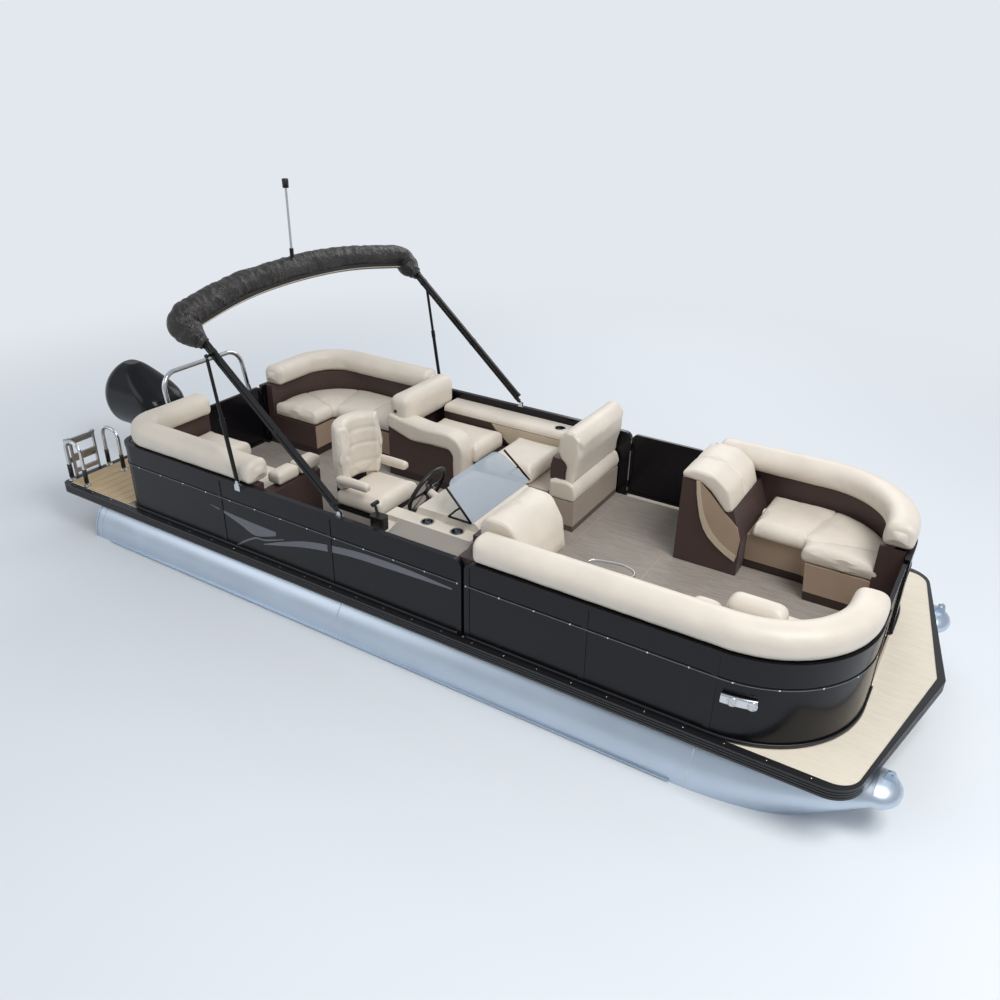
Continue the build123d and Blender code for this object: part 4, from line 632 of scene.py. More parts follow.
def repeat_tree(shape):
    """A tree that sets a small shape at even steps along a path, its axis along the path's out direction."""
    tree = bpy.data.node_groups.new("repeat_" + shape, "GeometryNodeTree")
    sockets = [("Geometry", "NodeSocketGeometry"), ("Spacing", "NodeSocketFloat"),
               ("Width", "NodeSocketFloat"),
               ("Length", "NodeSocketFloat"), ("Height", "NodeSocketFloat"),
               ("Material", "NodeSocketMaterial")]
    for name, kind in sockets:
        tree.interface.new_socket(name, in_out="INPUT", socket_type=kind)
    tree.interface.new_socket("Geometry", in_out="OUTPUT", socket_type="NodeSocketGeometry")
    given = add(tree, "NodeGroupInput").outputs
    path = add(tree, "GeometryNodeMeshToCurve", {"Mesh": given["Geometry"]}, "Curve")
    points = add(tree, "GeometryNodeCurveToPoints", {"Curve": path, "Length": given["Spacing"]},
                 mode="LENGTH").outputs
    kinds = {"dome": ("GeometryNodeMeshUVSphere", {"Segments": 10, "Rings": 6, "Radius": 0.5}),
             "bar": ("GeometryNodeMeshCube", {"Size": (1.0, 1.0, 1.0)}),
             "disc": ("GeometryNodeMeshCylinder", {"Vertices": 10, "Radius": 0.5, "Depth": 1.0})}
    item = add(tree, *kinds[shape], "Mesh")
    size = add(tree, "ShaderNodeCombineXYZ", {"X": given["Length"], "Y": given["Width"],
                                              "Z": given["Height"]}, "Vector")
    out = add(tree, "GeometryNodeInputNamedAttribute", {"Name": "out"}, "Attribute", data_type="FLOAT_VECTOR")
    turned = add(tree, "FunctionNodeAlignRotationToVector", {"Vector": points["Tangent"]}, "Rotation",
                 axis="X")
    turned = add(tree, "FunctionNodeAlignRotationToVector", {"Rotation": turned, "Vector": out}, "Rotation",
                 axis="Z", pivot_axis="X")
    set_down = add(tree, "GeometryNodeInstanceOnPoints", {"Points": points["Points"], "Instance": item,
                                                          "Rotation": turned, "Scale": size}, "Instances")
    real = add(tree, "GeometryNodeRealizeInstances", {"Geometry": set_down}, "Geometry")
    done = add(tree, "GeometryNodeSetMaterial", {"Geometry": real, "Material": given["Material"]}, "Geometry")
    add(tree, "NodeGroupOutput", {"Geometry": done})
    return tree


TREES = {}


def repeat(name, paths, shape, spacing, width, length, height, material, body):
    """Small shapes along paths, made by the tree and kept as one plain mesh.

    Each path holds its points and the directions out of the surface there.
    """
    if shape not in TREES:
        TREES[shape] = repeat_tree(shape)
    verts, edges, outs = [], [], []
    for points, directions in paths:
        first = len(verts)
        verts += [tuple(p) for p in points]
        outs += [tuple(d) for d in directions]
        edges += [(first + i, first + i + 1) for i in range(len(points) - 1)]
    mesh = bpy.data.meshes.new(name + "_path")
    mesh.from_pydata(verts, edges, [])
    directions = mesh.attributes.new("out", "FLOAT_VECTOR", "POINT").data
    directions.foreach_set("vector", np.array(outs, dtype=np.float32).ravel())
    holder = bpy.data.objects.new(name + "_path", mesh)
    bpy.context.scene.collection.objects.link(holder)
    grower = holder.modifiers.new("Repeat", "NODES")
    grower.node_group = TREES[shape]
    values = {"Spacing": spacing, "Width": width, "Length": length, "Height": height,
              "Material": MATERIALS[material]}
    for item in grower.node_group.interface.items_tree:
        if item.in_out == "INPUT" and item.name in values:
            grower[item.identifier] = values[item.name]
    graph = bpy.context.evaluated_depsgraph_get()
    grown = bpy.data.meshes.new_from_object(holder.evaluated_get(graph))
    holder.modifiers.remove(grower)
    bpy.data.objects.remove(holder)
    if not grown.polygons:
        raise RuntimeError(name + " came out empty")
    grown.name = name
    made = bpy.data.objects.new(name, grown)
    bpy.context.scene.collection.objects.link(made)
    return keep(made, material, body)


def colour(label, what, code):
    return FloatVectorProperty(name=label, description=what, subtype="COLOR", min=0, max=1,
                               default=srgb(code)[:3])


def length(label, what, value):
    return FloatProperty(name=label, description=what, unit="LENGTH", min=0, default=value)


class BoatColours(bpy.types.PropertyGroup):
    """Colours of the boat's finishes"""
    cream: colour("Cream vinyl", "Cushions and rolls", "#DAD0C2")
    tan: colour("Tan vinyl", "Seat fronts and side panels", "#A58F7B")
    brown: colour("Brown vinyl", "Lounge shells and kick panels", "#453330")
    panel: colour("Fence panels", "Powder coat of the fence", "#0B0A0F")
    canvas: colour("Canvas", "Rolled top", "#1D1917")
    floor: colour("Floor", "Woven floor", "#9E958C")
    planks: colour("Planks", "Stern platform", "#C9B08C")
    tubes: colour("Tubes", "Aluminium of the tubes", "#C7D3E0")


class BoatUpholstery(bpy.types.PropertyGroup):
    """Shape of the cushions"""
    pressure: FloatProperty(name="Pressure", description="Filling of the cushions", min=0, max=10,
                            default=4.0)
    swell: length("Swell", "How far a cushion may fill out", 0.010)
    seam: length("Seam depth", "How deep a sewn seam pulls in", 0.008)


class BoatTrim(bpy.types.PropertyGroup):
    """Fittings on the fence and the deck"""
    screw: length("Screw head", "Diameter of a screw head", 0.013)
    screw_step: length("Screw spacing", "Distance between screws on the rails", 0.24)
    # The silver strip on the middle rail is a painted highlight of the rail's upper edge
    highlight_strip: length("Strip height", "Height of the bright strip on the middle rail", 0.005)
    rib_step: length("Tread ribs", "Distance between the ribs of the ladder treads", 0.022)


class BoatCanvas(bpy.types.PropertyGroup):
    """Folds of the rolled canvas top"""
    radius: length("Radius", "Radius of the rolled canvas", 0.096)
    gather: length("Gather depth", "Depth of the gathers across the canvas", 0.012)


class BOAT_OT_stage(bpy.types.Operator):
    """Set the floor, the background, the lights and the camera"""
    bl_idname = "boat.stage"
    bl_label = "Stage"

    def execute(self, context):
        scene = context.scene
        scene.view_settings.view_transform = "Standard"
        yaw, pitch, roll = radians(121.177), radians(-27.735), radians(1.09)
        ahead = Vector((cos(pitch) * cos(yaw), cos(pitch) * sin(yaw), sin(pitch)))
        level = Vector((sin(yaw), -cos(yaw), 0))
        upright = level.cross(ahead)
        right = level * cos(roll) + upright * sin(roll)
        top = upright * cos(roll) - level * sin(roll)
        lens = bpy.data.cameras.new("Camera")
        lens.lens, lens.sensor_width, lens.clip_end = 31.40, 36.0, 300.0
        made = bpy.data.objects.new("Camera", lens)
        made.matrix_world = Matrix(((right.x, top.x, -ahead.x, 3.287), (right.y, top.y, -ahead.y, -5.08),
                                    (right.z, top.z, -ahead.z, 3.888), (0, 0, 0, 1)))
        scene.collection.objects.link(made)
        scene.camera = made

        backdrop = srgb("#E3E8EE")
        mesh = bpy.data.meshes.new("floor")
        reach = 90.0
        corners = [(-reach, -reach, 0), (reach, -reach, 0), (reach, reach, 0), (-reach, reach, 0)]
        mesh.from_pydata(corners, [], [(0, 1, 2, 3)])
        floor = bpy.data.objects.new("floor", mesh)
        scene.collection.objects.link(floor)
        paint, tree, shader, coords = begin("studio_floor")
        connect(tree, shader, {"Base Color": srgb("#E2E6EA"), "Roughness": 0.7, "Specular IOR Level": 0.1})
        # The painted floor fades into the backdrop's own colour away from the boat
        away = add(tree, "ShaderNodeVectorMath", {0: coords}, "Value", operation="LENGTH")
        fade = add(tree, "ShaderNodeMapRange", {"Value": away, "From Min": 4.5, "From Max": 10.0}, "Result",
                   interpolation_type="SMOOTHSTEP")
        glow = add(tree, "ShaderNodeEmission", {"Color": backdrop, "Strength": 1.0}, "Emission")
        seen = seen_by(tree, "Is Camera Ray", "Is Glossy Ray", "Is Transmission Ray")
        share = add(tree, "ShaderNodeMath", {0: seen, 1: fade}, "Value", operation="MULTIPLY")
        mixed = add(tree, "ShaderNodeMixShader", {0: share, 1: shader.outputs["BSDF"], 2: glow}, "Shader")
        connect(tree, tree.nodes["Material Output"], {"Surface": mixed})
        mesh.materials.append(paint)

        world = bpy.data.worlds.new("studio")
        world.use_nodes = True
        tree = world.node_tree
        soft = tree.nodes["Background"]
        connect(tree, soft, {"Color": srgb("#E8EDF4"), "Strength": 0.62})
        shown = add(tree, "ShaderNodeBackground", {"Color": backdrop, "Strength": 1.0}, "Background")
        seen = seen_by(tree, "Is Camera Ray", "Is Transmission Ray")
        mixed = add(tree, "ShaderNodeMixShader", {0: seen, 1: soft.outputs["Background"], 2: shown}, "Shader")
        connect(tree, tree.nodes["World Output"], {"Surface": mixed})
        scene.world = world
        # Lamps: name, place, size, power
        lamps = [("key", (5.5, -2.0, 8.0), 4.0, 520.0), ("fill", (-7.0, -7.0, 6.0), 6.0, 120.0),
                 ("back", (-1.0, 9.0, 6.5), 6.0, 260.0)]
        for name, place, size, power in lamps:
            light = bpy.data.lights.new(name, "AREA")
            light.energy, light.size = power, size
            holder = bpy.data.objects.new(name, light)
            holder.location = place
            holder.rotation_euler = (Vector((0, 0, 0.6)) - Vector(place)).to_track_quat("-Z", "Y").to_euler()
            scene.collection.objects.link(holder)
        return {"FINISHED"}


# Finish of each node of the frame; the nodes not named here are cream vinyl
FINISHES = {
    "mill_aluminium": ("pontoon_port", "pontoon_starboard"),
    "structural_aluminium": ("cross_members", "motor_pod"),
    "floor_weave": ("deck",),
    "black_extrusion": ("deck_trim",),
    "plank_vinyl": ("platform_planks",),
    "black_powder_coat": ("fence_port_aft", "fence_port_bow", "fence_starboard_aft", "fence_starboard_bow",
                          "bow_gate", "side_gate", "stern_gate"),
    "two_tone_vinyl": ("bow_port_base", "bow_starboard_base", "stern_port_base", "stern_starboard_base",
                       "companion_base"),
    "beige_over_kick": ("mid_port_base",),
    "cream_over_brown": ("side_ledge",),
    "console_moulding": ("helm_console",),
    "windscreen_acrylic": ("windscreen",),
    "black_plastic": ("steering_wheel", "throttle", "captain_chair"),
    "brushed_stainless": ("chair_pedestal", "light_pole", "ladder_upper", "ladder_lower", "propeller"),
    "black_tube": ("bimini_frame", "strut_tube_port", "strut_tube_starboard", "strut_rod_port",
                   "strut_rod_starboard"),
    "stainless": ("top_fittings", "tow_bar", "ladder_handrails", "docking_lights", "cup_liners"),
    "motor_paint": ("outboard_clamp", "outboard_swivel", "outboard_leg"),
    "cowl_gloss": ("outboard_cowl",),
}


class BOAT_OT_finishes(bpy.types.Operator):
    """Make the finishes and give each part of the frame its own"""
    bl_idname = "boat.finishes"
    bl_label = "Finishes"

    def execute(self, context):
        c = context.scene.boat_colours
        even = (1, 1, 1)
        # How each is made, its name, its colour, and what else its function takes
        recipes = [
            (marine_vinyl, "cream_vinyl", c.cream),
            (marine_vinyl, "tan_vinyl", c.tan, 0.46),
            (marine_vinyl, "brown_vinyl", c.brown, 0.48),
            (banded, "two_tone_vinyl", c.brown, "#2A1E1A", DECK_Z + 0.07),
            (banded, "tan_over_kick", c.tan, "#2F211C", DECK_Z + 0.07),
            (banded, "beige_over_kick", "#A89A8C", "#5B4A40", DECK_Z + 0.05),
            (banded, "cream_over_brown", c.cream, "#3A2822", 0.905),
            (powder_coat, "black_powder_coat", c.panel),
            (bare_metal, "mill_aluminium", c.tubes, 0.34, (0.06, 1.0, 1.0), 0.25, 0.05),
            (bare_metal, "polished_aluminium", "#DADCDF", 0.14, even, 0.05, 0.04),
            (bare_metal, "structural_aluminium", "#A2A5A8", 0.5, even, 0.3, 0.15),
            (bare_metal, "stainless", "#D3D5D8", 0.13, even, 0.06, 0.05),
            (bare_metal, "brushed_stainless", "#B9BBBE", 0.3, (1, 1, 0.1), 0.2, 0.06),
            (woven_floor, "floor_weave", c.floor, "#E2D8C6"),
            (moulded, "plank_vinyl", c.planks, 0.55, 0.3, 200.0),
            (moulded, "black_extrusion", "#1A1A1C", 0.35, 0.2),
            (moulded, "beige_moulding", "#C0B19A", 0.4, 0.2),
            (moulded, "console_moulding", "#D8CFC1", 0.32, 0.1, 700.0, 0.3),
            # Skirt: a darker, greyer copy of the console's cream, with the shade on its slope painted in
            (moulded, "skirt_moulding", "#938C84", 0.4, 0.15),
            (moulded, "black_plastic", "#131314", 0.38, 0.25),
            (powder_coat, "black_tube", "#0C0B0C", 0.34),
            (boat_canvas, "canvas", c.canvas),
            (moulded, "white_welt", "#E9E4DA", 0.4, 0.1),
            # The same silver serves the real stripes and the strip painted along the middle rail as its
            # highlight
            (bare_metal, "silver_vinyl", "#77777C", 0.36, (0.1, 1, 1), 0.1, 0.10),
            (acrylic_sheet, "windscreen_acrylic", "#AEB8C2", 0.58),
            (acrylic_sheet, "lamp_lens", "#E6EAEE", 0.4),
            (powder_coat, "cowl_gloss", "#08090D", 0.2),
            (powder_coat, "motor_paint", "#1A1A1E", 0.3),
        ]
        MATERIALS.update((name, make(name, *values)) for make, name, *values in recipes)
        chosen = {node: name for name, nodes in FINISHES.items() for node in nodes}
        for name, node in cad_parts.items():
            finish = MATERIALS[chosen.get(name, "cream_vinyl")]
            for place in node.material_slots:
                place.material = finish
            if not node.material_slots:
                node.data.materials.append(finish)
        return {"FINISHED"}


# Rolls on the fence: name, start, corner face, corner radius, crossing end, side, seams, its node
ROLLS = [
    ("roll_starboard_bow", 0.730, BOW_X, BOW_R, -0.396, -1, (3.42,), "bow_starboard_cushions"),
    ("roll_port_bow", 1.515, BOW_X, BOW_R, -0.396, 1, (2.60,), "bow_port_cushions"),
    ("roll_starboard_stern", -1.115, STERN_X, 0.30, -0.402, -1, (), "stern_starboard_cushions"),
    ("roll_port_stern", -1.215, STERN_X, 0.48, -0.352, 1, (), "stern_port_cushions"),
]

# Seats that follow the fence: name, start, corner face, corner radius, end, side, how far in its outer
# and inner edges lie, seams, the node it stands for
RUN_SEATS = [
    ("seat_starboard_bow", 1.045, BOW_X, BOW_R, -0.420, -1, 0.120, 0.656, (0.62, 1.24, 2.1),
     "bow_starboard_cushions"),
    ("seat_port_bow", 1.994, BOW_X, BOW_R, -0.420, 1, 0.120, 0.681, (0.50, 1.30), "bow_port_cushions"),
    ("seat_port_stern", -1.215, STERN_X, 0.68, -0.352, 1, 0.120, 0.636, (0.42, 0.92, 1.55),
     "stern_port_cushions"),
]

# Box cushions: their node and its body, then each one's name, low corner, high corner, rim radius
BOX_PADS = [
    ("stern_starboard_cushions", "boat", [
        ("seat_starboard_stern_side", (-2.000, -1.124, BASE_Z), (-1.179, -0.628, 0.852), 0.036),
        ("seat_starboard_stern_end", (-2.500, -1.124, BASE_Z), (-2.004, -0.402, 0.852), 0.036),
        ("armrest_stern_a", (-1.225, -0.998, 0.9303), (-1.095, -0.772, 1.026), 0.030),
        ("armrest_stern_b", (-1.225, -0.764, 0.9303), (-1.095, -0.534, 1.026), 0.030)]),
    ("companion_cushions", "boat", [
        ("companion_seat", (-0.995, 0.526, 0.7103), (-0.345, 0.975, 0.852), 0.038),
        ("companion_back", (-1.196, 0.426, 0.905), (-1.000, 1.174, 1.190), 0.075)]),
    ("mid_port_cushions", "boat", [
        ("mid_seat", (-0.203, 0.395, BASE_Z), (0.252, 0.973, 0.854), 0.036)]),
    ("bow_starboard_cushions", "boat", [
        ("pillow_a", (2.060, -0.990, 0.880), (2.255, -0.850, 1.085), 0.055),
        ("pillow_b", (2.262, -0.965, 0.880), (2.615, -0.800, 1.170), 0.070)]),
    ("captain_chair_cushions", "chair", [
        ("chair_seat", (-0.745, -0.795, 0.8003), (-0.312, -0.325, 0.916), 0.036),
        ("chair_arm_port", (-0.715, -0.366, 0.986), (-0.412, -0.302, 1.050), 0.026),
        ("chair_arm_starboard", (-0.715, -0.818, 0.986), (-0.412, -0.754, 1.050), 0.026)]),
]

# Forms with a side outline: name, its corners as X, Z and radius, from Y, to Y, seams, the node it stands for
BACKS = [
    ("chaise_back", [
        (0.907, 0.734, 0.03), (1.040, 0.866, 0.04), (1.010, 1.080, 0.09), (0.915, 1.232, 0.09),
        (0.735, 1.250, 0.07), (0.676, 1.180, 0.05), (0.690, 1.060, 0.04), (0.800, 0.900, 0.05)],
     -1.030, -0.486, (), "bow_starboard_cushions"),
    ("port_bow_back", [
        (1.828, 0.925, 0.03), (1.884, 0.955, 0.03), (1.830, 1.110, 0.07), (1.710, 1.196, 0.06),
        (1.560, 1.206, 0.06), (1.466, 1.172, 0.03), (1.474, 1.124, 0.025), (1.615, 1.116, 0.03),
        (1.690, 1.066, 0.06), (1.762, 0.994, 0.06)],
     0.448, 1.030, (0.28,), "bow_port_cushions"),
    ("companion_arm", [
        (-1.205, 0.900, 0.03), (-0.950, 0.822, 0.08), (-0.545, 0.835, 0.03), (-0.520, 0.790, 0.03),
        (-0.515, 0.560, 0.03), (-0.405, 0.560, 0.03), (-0.405, 0.850, 0.08), (-0.455, 0.935, 0.07),
        (-0.560, 0.975, 0.06), (-0.820, 0.975, 0.2), (-1.060, 1.005, 0.1), (-1.205, 1.040, 0.04)],
     0.410, 0.600, (), "companion_cushions"),
    ("mid_back", [
        (0.512, 1.020, 0.03), (0.478, 1.100, 0.06), (0.492, 1.215, 0.07), (0.545, 1.280, 0.07),
        (0.625, 1.282, 0.07), (0.678, 1.222, 0.07), (0.672, 1.080, 0.2), (0.640, 0.940, 0.2),
        (0.628, 0.842, 0.02), (0.560, 0.842, 0.02), (0.548, 0.930, 0.1), (0.562, 0.990, 0.03)],
     0.393, 1.194, (), "mid_port_cushions"),
    ("mid_ledge", [
        (0.430, 0.702, 0.025), (0.660, 0.702, 0.03), (0.674, 0.765, 0.05), (0.656, 0.840, 0.06),
        (0.590, 0.866, 0.06), (0.430, 0.856, 0.025)],
     0.372, 1.190, (), "mid_port_cushions"),
]


class BOAT_OT_rolls(bpy.types.Operator):
    """Make the padded rolls on top of the fence"""
    bl_idname = "boat.rolls"
    bl_label = "Rolls"

    def execute(self, context):
        s = context.scene.boat_upholstery
        section = round_section(oblong(0.004, 0.208, RAIL_Z, ROLL_Z), [0.05, 0.05, 0.088, 0.088])
        for i, (name, x0, x1, r, y_end, side, seams, node) in enumerate(ROLLS):
            form = sewn_form(*fence_line(x0, x1, r, y_end, side), section, seams, edge=0.050, puff=0.022,
                             seam_depth=s.seam, seed=i + 1.0)
            cushion(name, form, node, s)
        return {"FINISHED"}


class BOAT_OT_seats(bpy.types.Operator):
    """Make the seat cushions, the armrests, the pillows and the backs"""
    bl_idname = "boat.seats"
    bl_label = "Seats and backs"

    def execute(self, context):
        s = context.scene.boat_upholstery
        rim, crown = 0.846, 0.858
        for i, (name, x0, x1, r, y_end, side, u0, u1, seams, node) in enumerate(RUN_SEATS):
            outline = [(u0, BASE_Z), (u1, BASE_Z), (u1, rim), ((u0 + u1) / 2, crown), (u0, rim)]
            section = round_section(outline, [0.02, 0.045, 0.05, 0.4, 0.03], 56)
            form = sewn_form(*fence_line(x0, x1, r, y_end, side), section, seams, edge=0.03, puff=0.006,
                             seam_depth=s.seam, seed=i + 7.0)
            cushion(name, form, node, s)
        for node, body, pads in BOX_PADS:
            for name, low, high, r in pads:
                cells = tuple(max(6, int((b - a) / PAD_CELL)) for a, b in zip(low, high))
                cushion(name, padded_box(low, high, r, cells), node, s, body)
        for i, (name, corners, y0, y1, seams, node) in enumerate(BACKS):
            section = round_section([corner[:2] for corner in corners], [corner[2] for corner in corners], 64)
            line, inwards = np.array([(0.0, y0), (0.0, y1)]), np.array([(1.0, 0.0)] * 2)
            form = sewn_form(line, inwards, section, seams, edge=0.024, puff=0.0, seam_depth=s.seam,
                             seed=i + 11.0)
            cushion(name, form, node, s)
        return {"FINISHED"}


class BOAT_OT_chair(bpy.types.Operator):
    """Make the wrapped back of the captain's chair"""
    bl_idname = "boat.chair"
    bl_label = "Captain's chair"

    def execute(self, context):
        s = context.scene.boat_upholstery
        turns = np.radians(np.linspace(110, 250, 40))
        outwards = np.stack([np.cos(turns), np.sin(turns)], axis=1)
        line = np.array([CHAIR[0] - 0.012, CHAIR[1]]) + 0.272 * outwards
        section = round_section(oblong(0.0, 0.104, 0.932, 1.428), [0.03, 0.03, 0.05, 0.05], 72)
        # Three sewn bands across the sitter's side
        for height in (1.05, 1.20, 1.32):
            dip = s.seam * np.exp(-((section[:, 1] - height) / 0.012) ** 2)
            section[:, 0] -= np.where(section[:, 0] > 0.06, dip, 0.0)
        form = sewn_form(line, -outwards, section, (), edge=0.03, puff=0.02, seed=21.0)
        cushion("chair_back", form, "captain_chair_cushions", s, "chair")
        return {"FINISHED"}


# Side outlines of the lounges' panels, in X and Z
PORT_BOW_SHELL = [(1.478, 1.122), (1.615, 1.112), (1.690, 1.062), (1.762, 0.990), (1.828, 0.925),
                  (1.880, 0.955), (1.960, 0.720), (1.960, ON_DECK), (1.478, ON_DECK)]
STRIP_AFT = [(1.585, 1.124), (1.600, 1.020), (1.620, 0.930), (1.645, 0.840), (1.680, 0.760), (1.725, 0.700),
             (1.790, 0.645), (1.860, 0.600), (1.940, 0.560)]
STRIP_FORWARD = [(1.612, 1.122), (1.632, 1.020), (1.655, 0.930), (1.685, 0.850), (1.718, 0.790),
                 (1.760, 0.735), (1.815, 0.685), (1.880, 0.645), (1.950, 0.612)]
INSET_FORWARD = [(1.956, 0.740), (1.925, 0.835), (1.872, 0.885), (1.828, 0.918), (1.762, 0.982),
                 (1.690, 1.054), (1.640, 1.095)]
COMPANION_SIDE = [(-1.200, 0.442), (-0.420, 0.442), (-0.420, 0.600), (-0.500, 0.600), (-0.535, 0.842),
                  (-0.950, 0.835), (-1.200, 0.905)]
MID_BACK_SHELL = [(0.428, 0.852), (0.560, 0.852), (0.546, 0.930), (0.575, 1.000), (0.510, 1.030),
                  (0.445, 1.040), (0.426, 0.950)]
LEDGE_PANEL = [(-0.480, 0.900), (0.240, 0.900), (0.240, 0.745), (-0.294, 0.745), (-0.370, 0.800),
               (-0.447, 0.860)]


class BOAT_OT_panels(bpy.types.Operator):
    """Make the upholstered fronts, shells and side panels of the lounges"""
    bl_idname = "boat.panels"
    bl_label = "Lounge panels"

    def execute(self, context):
        # Boards in front of the seats: start, corner face, corner radius, crossing end, side, how far inboard
        fronts = [strip(*fence_line(x0, x1, r, y_end, side), oblong(u, u + 0.006, DECK_Z, 0.726))
                  for x0, x1, r, y_end, side, u in ((1.05, BOW_X, BOW_R, -0.424, -1, 0.641),
                                                    (-1.225, STERN_X, 0.68, -0.356, 1, 0.621))]
        leaning = [(0.050, ON_DECK), (0.612, ON_DECK), (0.640, 0.728), (0.050, 0.728)]
        fronts.append(strip(*fence_line(1.965, BOW_X, BOW_R, -0.424, 1), leaning))
        piece("seat_fronts", fronts, "tan_over_kick", "boat", smooth=False)
        walls = [strip(*fence_line(1.520, BOW_X, BOW_R, -0.424, 1), oblong(0.046, 0.116, 0.729, 1.0185)),
                 block((2.862, 0.423, ON_DECK), (3.022, 0.446, 1.0185)),
                 block((1.478, 0.470, ON_DECK), (1.962, 1.190, 0.700))]
        companion = [plate(COMPANION_SIDE, 0.430, 0.13),
                     block((-1.200, 0.562, 0.442), (-0.352, 1.190, 0.709)),
                     block((-1.203, 0.562, 0.712), (-1.150, 1.190, 1.120))]
        lounge = [block((0.415, 0.376, 0.442), (0.660, 1.190, 0.700)),
                  block((-0.200, 0.402, 0.442), (0.412, 1.190, 0.728))]
        ring = circle((-1.115, 0.424, 1.055), AHEAD, UP, 0.016, 20)
        button = ring + [p + PORT * 0.012 for p in ring], loop_faces(2, 20)
        # Panels: name, forms, finish, slot, the node it stands for
        for name, forms, material, slot, *node in (
                ("port_bow_walls", walls, "two_tone_vinyl", "shell_brown", "bow_port_base"),
                ("port_bow_shell", [plate(PORT_BOW_SHELL, 0.461, 0.725)], "brown_vinyl", "shell_brown"),
                ("port_bow_edge_strip", [plate(STRIP_AFT + STRIP_FORWARD[::-1], 0.449, 0.012)],
                 "beige_moulding", "shell_beige"),
                ("port_bow_inset", [plate(STRIP_FORWARD + INSET_FORWARD, 0.452, 0.012)], "tan_vinyl",
                 "shell_beige"),
                ("companion_shell", companion, "two_tone_vinyl", "shell_brown", "companion_base"),
                ("mid_back_shell", [plate(MID_BACK_SHELL, 0.402, 0.786)], "brown_vinyl", "shell_brown"),
                ("mid_lounge_base", lounge, "beige_over_kick", "shell_beige", "mid_port_base"),
                ("ledge_side_panel", [plate(LEDGE_PANEL, 0.978, 0.008)], "beige_moulding", "shell_beige"),
                ("companion_button", [button], "brown_vinyl", "shell_brown")):
            piece(name, forms, material, "boat", node, smooth=False)
        return {"FINISHED"}


# Centre line of the roll on one side: distance up the legs, Y, offset from the legs' line
ROLL_CORNERS = [(1.478, -1.214, 0.009), (1.602, -1.238, -0.017), (1.730, -1.262, -0.017),
                (1.868, -0.620, -0.017)]
# How far from each of its corners the centre line starts to turn
ROLL_CUTS = [0, 0.05, 0.13, 0.35, 0.5, 0.35, 0.13, 0.05, 0]
ROLL_END_R = 0.041
# Section of the zipped hem: across the roll, up
HEM = ((-0.016, 0.026), (-0.022, -0.022), (0.016, -0.024), (0.020, 0.000), (0.008, 0.022))


class BOAT_OT_canvas(bpy.types.Operator):
    """Make the rolled canvas top with its gathers, its hem and the ties at its ends"""
    bl_idname = "boat.canvas"
    bl_label = "Rolled canvas"

    def execute(self, context):
        s = context.scene.boat_canvas

        def at(distance, y, off):
            return np.array([LEG_FOOT[0] - distance * cos(LEG_TILT) + off * sin(LEG_TILT), y,
                             LEG_FOOT[1] + distance * sin(LEG_TILT) + off * cos(LEG_TILT)])

        corners = [at(*p) for p in ROLL_CORNERS] + [at(1.900, 0.0, -0.017)]
        corners += [at(d, -y, off) for d, y, off in reversed(ROLL_CORNERS)]
        path = [corners[0]]
        for before, here, after, cut in zip(corners, corners[1:], corners[2:], ROLL_CUTS[1:]):
            a = here + (before - here) * min(0.48, cut / np.linalg.norm(before - here))
            b = here + (after - here) * min(0.48, cut / np.linalg.norm(after - here))
            path += [(1 - t) ** 2 * a + 2 * t * (1 - t) * here + t ** 2 * b for t in np.linspace(0, 1, 12)]
        path = np.array(path + [corners[-1]])
        total = lengths_of(path)[-1]
        at_s = np.linspace(0, total, 420)
        centre = resample(path, at_s)
        ahead = np.gradient(centre, axis=0)
        ahead /= np.linalg.norm(ahead, axis=1)[:, None]
        up = np.array([sin(LEG_TILT), 0.0, cos(LEG_TILT)])
        verts, count = [], 48
        for p, t, dist in zip(centre, ahead, at_s):
            side, over = round_path(t, up)
            near = min(dist, total - dist)
            grown = min(1.0, near / 0.13)
            base = ROLL_END_R + (s.radius - ROLL_END_R) * (grown * grown * (3 - 2 * grown))
            tight = 0.45 + 0.55 * max(0.0, 1 - dist / total * 1.3) + 0.5 * exp(-near / 0.16)
            depth = s.gather * (0.35 + 0.65 * grown)
            for k in range(count):
                a = tau * k / count
                x, y = cos(a), sin(a)
                # Gathers run across the roll and slant a little; longer sags run along it
                slant = dist + 0.035 * sin(a + 0.6)
                fold = (1 - abs(noise.noise(Vector((slant * 10.0, x * 0.9, y * 0.9)))) * 2.4) * tight
                small = (1 - abs(noise.noise(Vector((slant * 27.0, x * 1.5 + 5, y * 1.5)))) * 2.2) * tight
                sag = noise.noise(Vector((dist * 3.1, x * 1.4, y * 1.4 + 9)))
                r = base * (1 + 0.05 * x) + depth * (0.75 * fold + 0.35 * small - 0.6) + 0.006 * sag
                verts.append(p + side * x * r + over * y * r)
        made = new_mesh("canvas_boot", verts, loop_faces(len(centre), count))
        keep(made, "canvas", "top", ["bimini_boot"], levels=1)
        # The zipped hem hangs off the roll's lower edge, with a pale welt below it
        lower, hem = [], []
        for p, t in zip(centre[24:-24], ahead[24:-24]):
            side, _ = round_path(t, up)
            lower.append(p + side * (s.radius + 0.004) - up * 0.012)
            hem += [lower[-1] + side * x + up * z for x, z in HEM]
        forms = [(hem, loop_faces(len(lower), len(HEM)))]
        for end in (6, -7):
            forms.append(tube(circle(centre[end], *round_path(ahead[end], up), 0.052, 24), 0.008, 6,
                              closed=True))
        piece("canvas_hem", forms, "black_plastic", "top")
        welt = [p + up * 0.002 + np.array([0.018, 0, -0.012]) for p in lower]
        piece("canvas_welt", [tube(welt, 0.004, 6)], "beige_moulding", "top")
        return {"FINISHED"}


STRIP_Z = 0.846
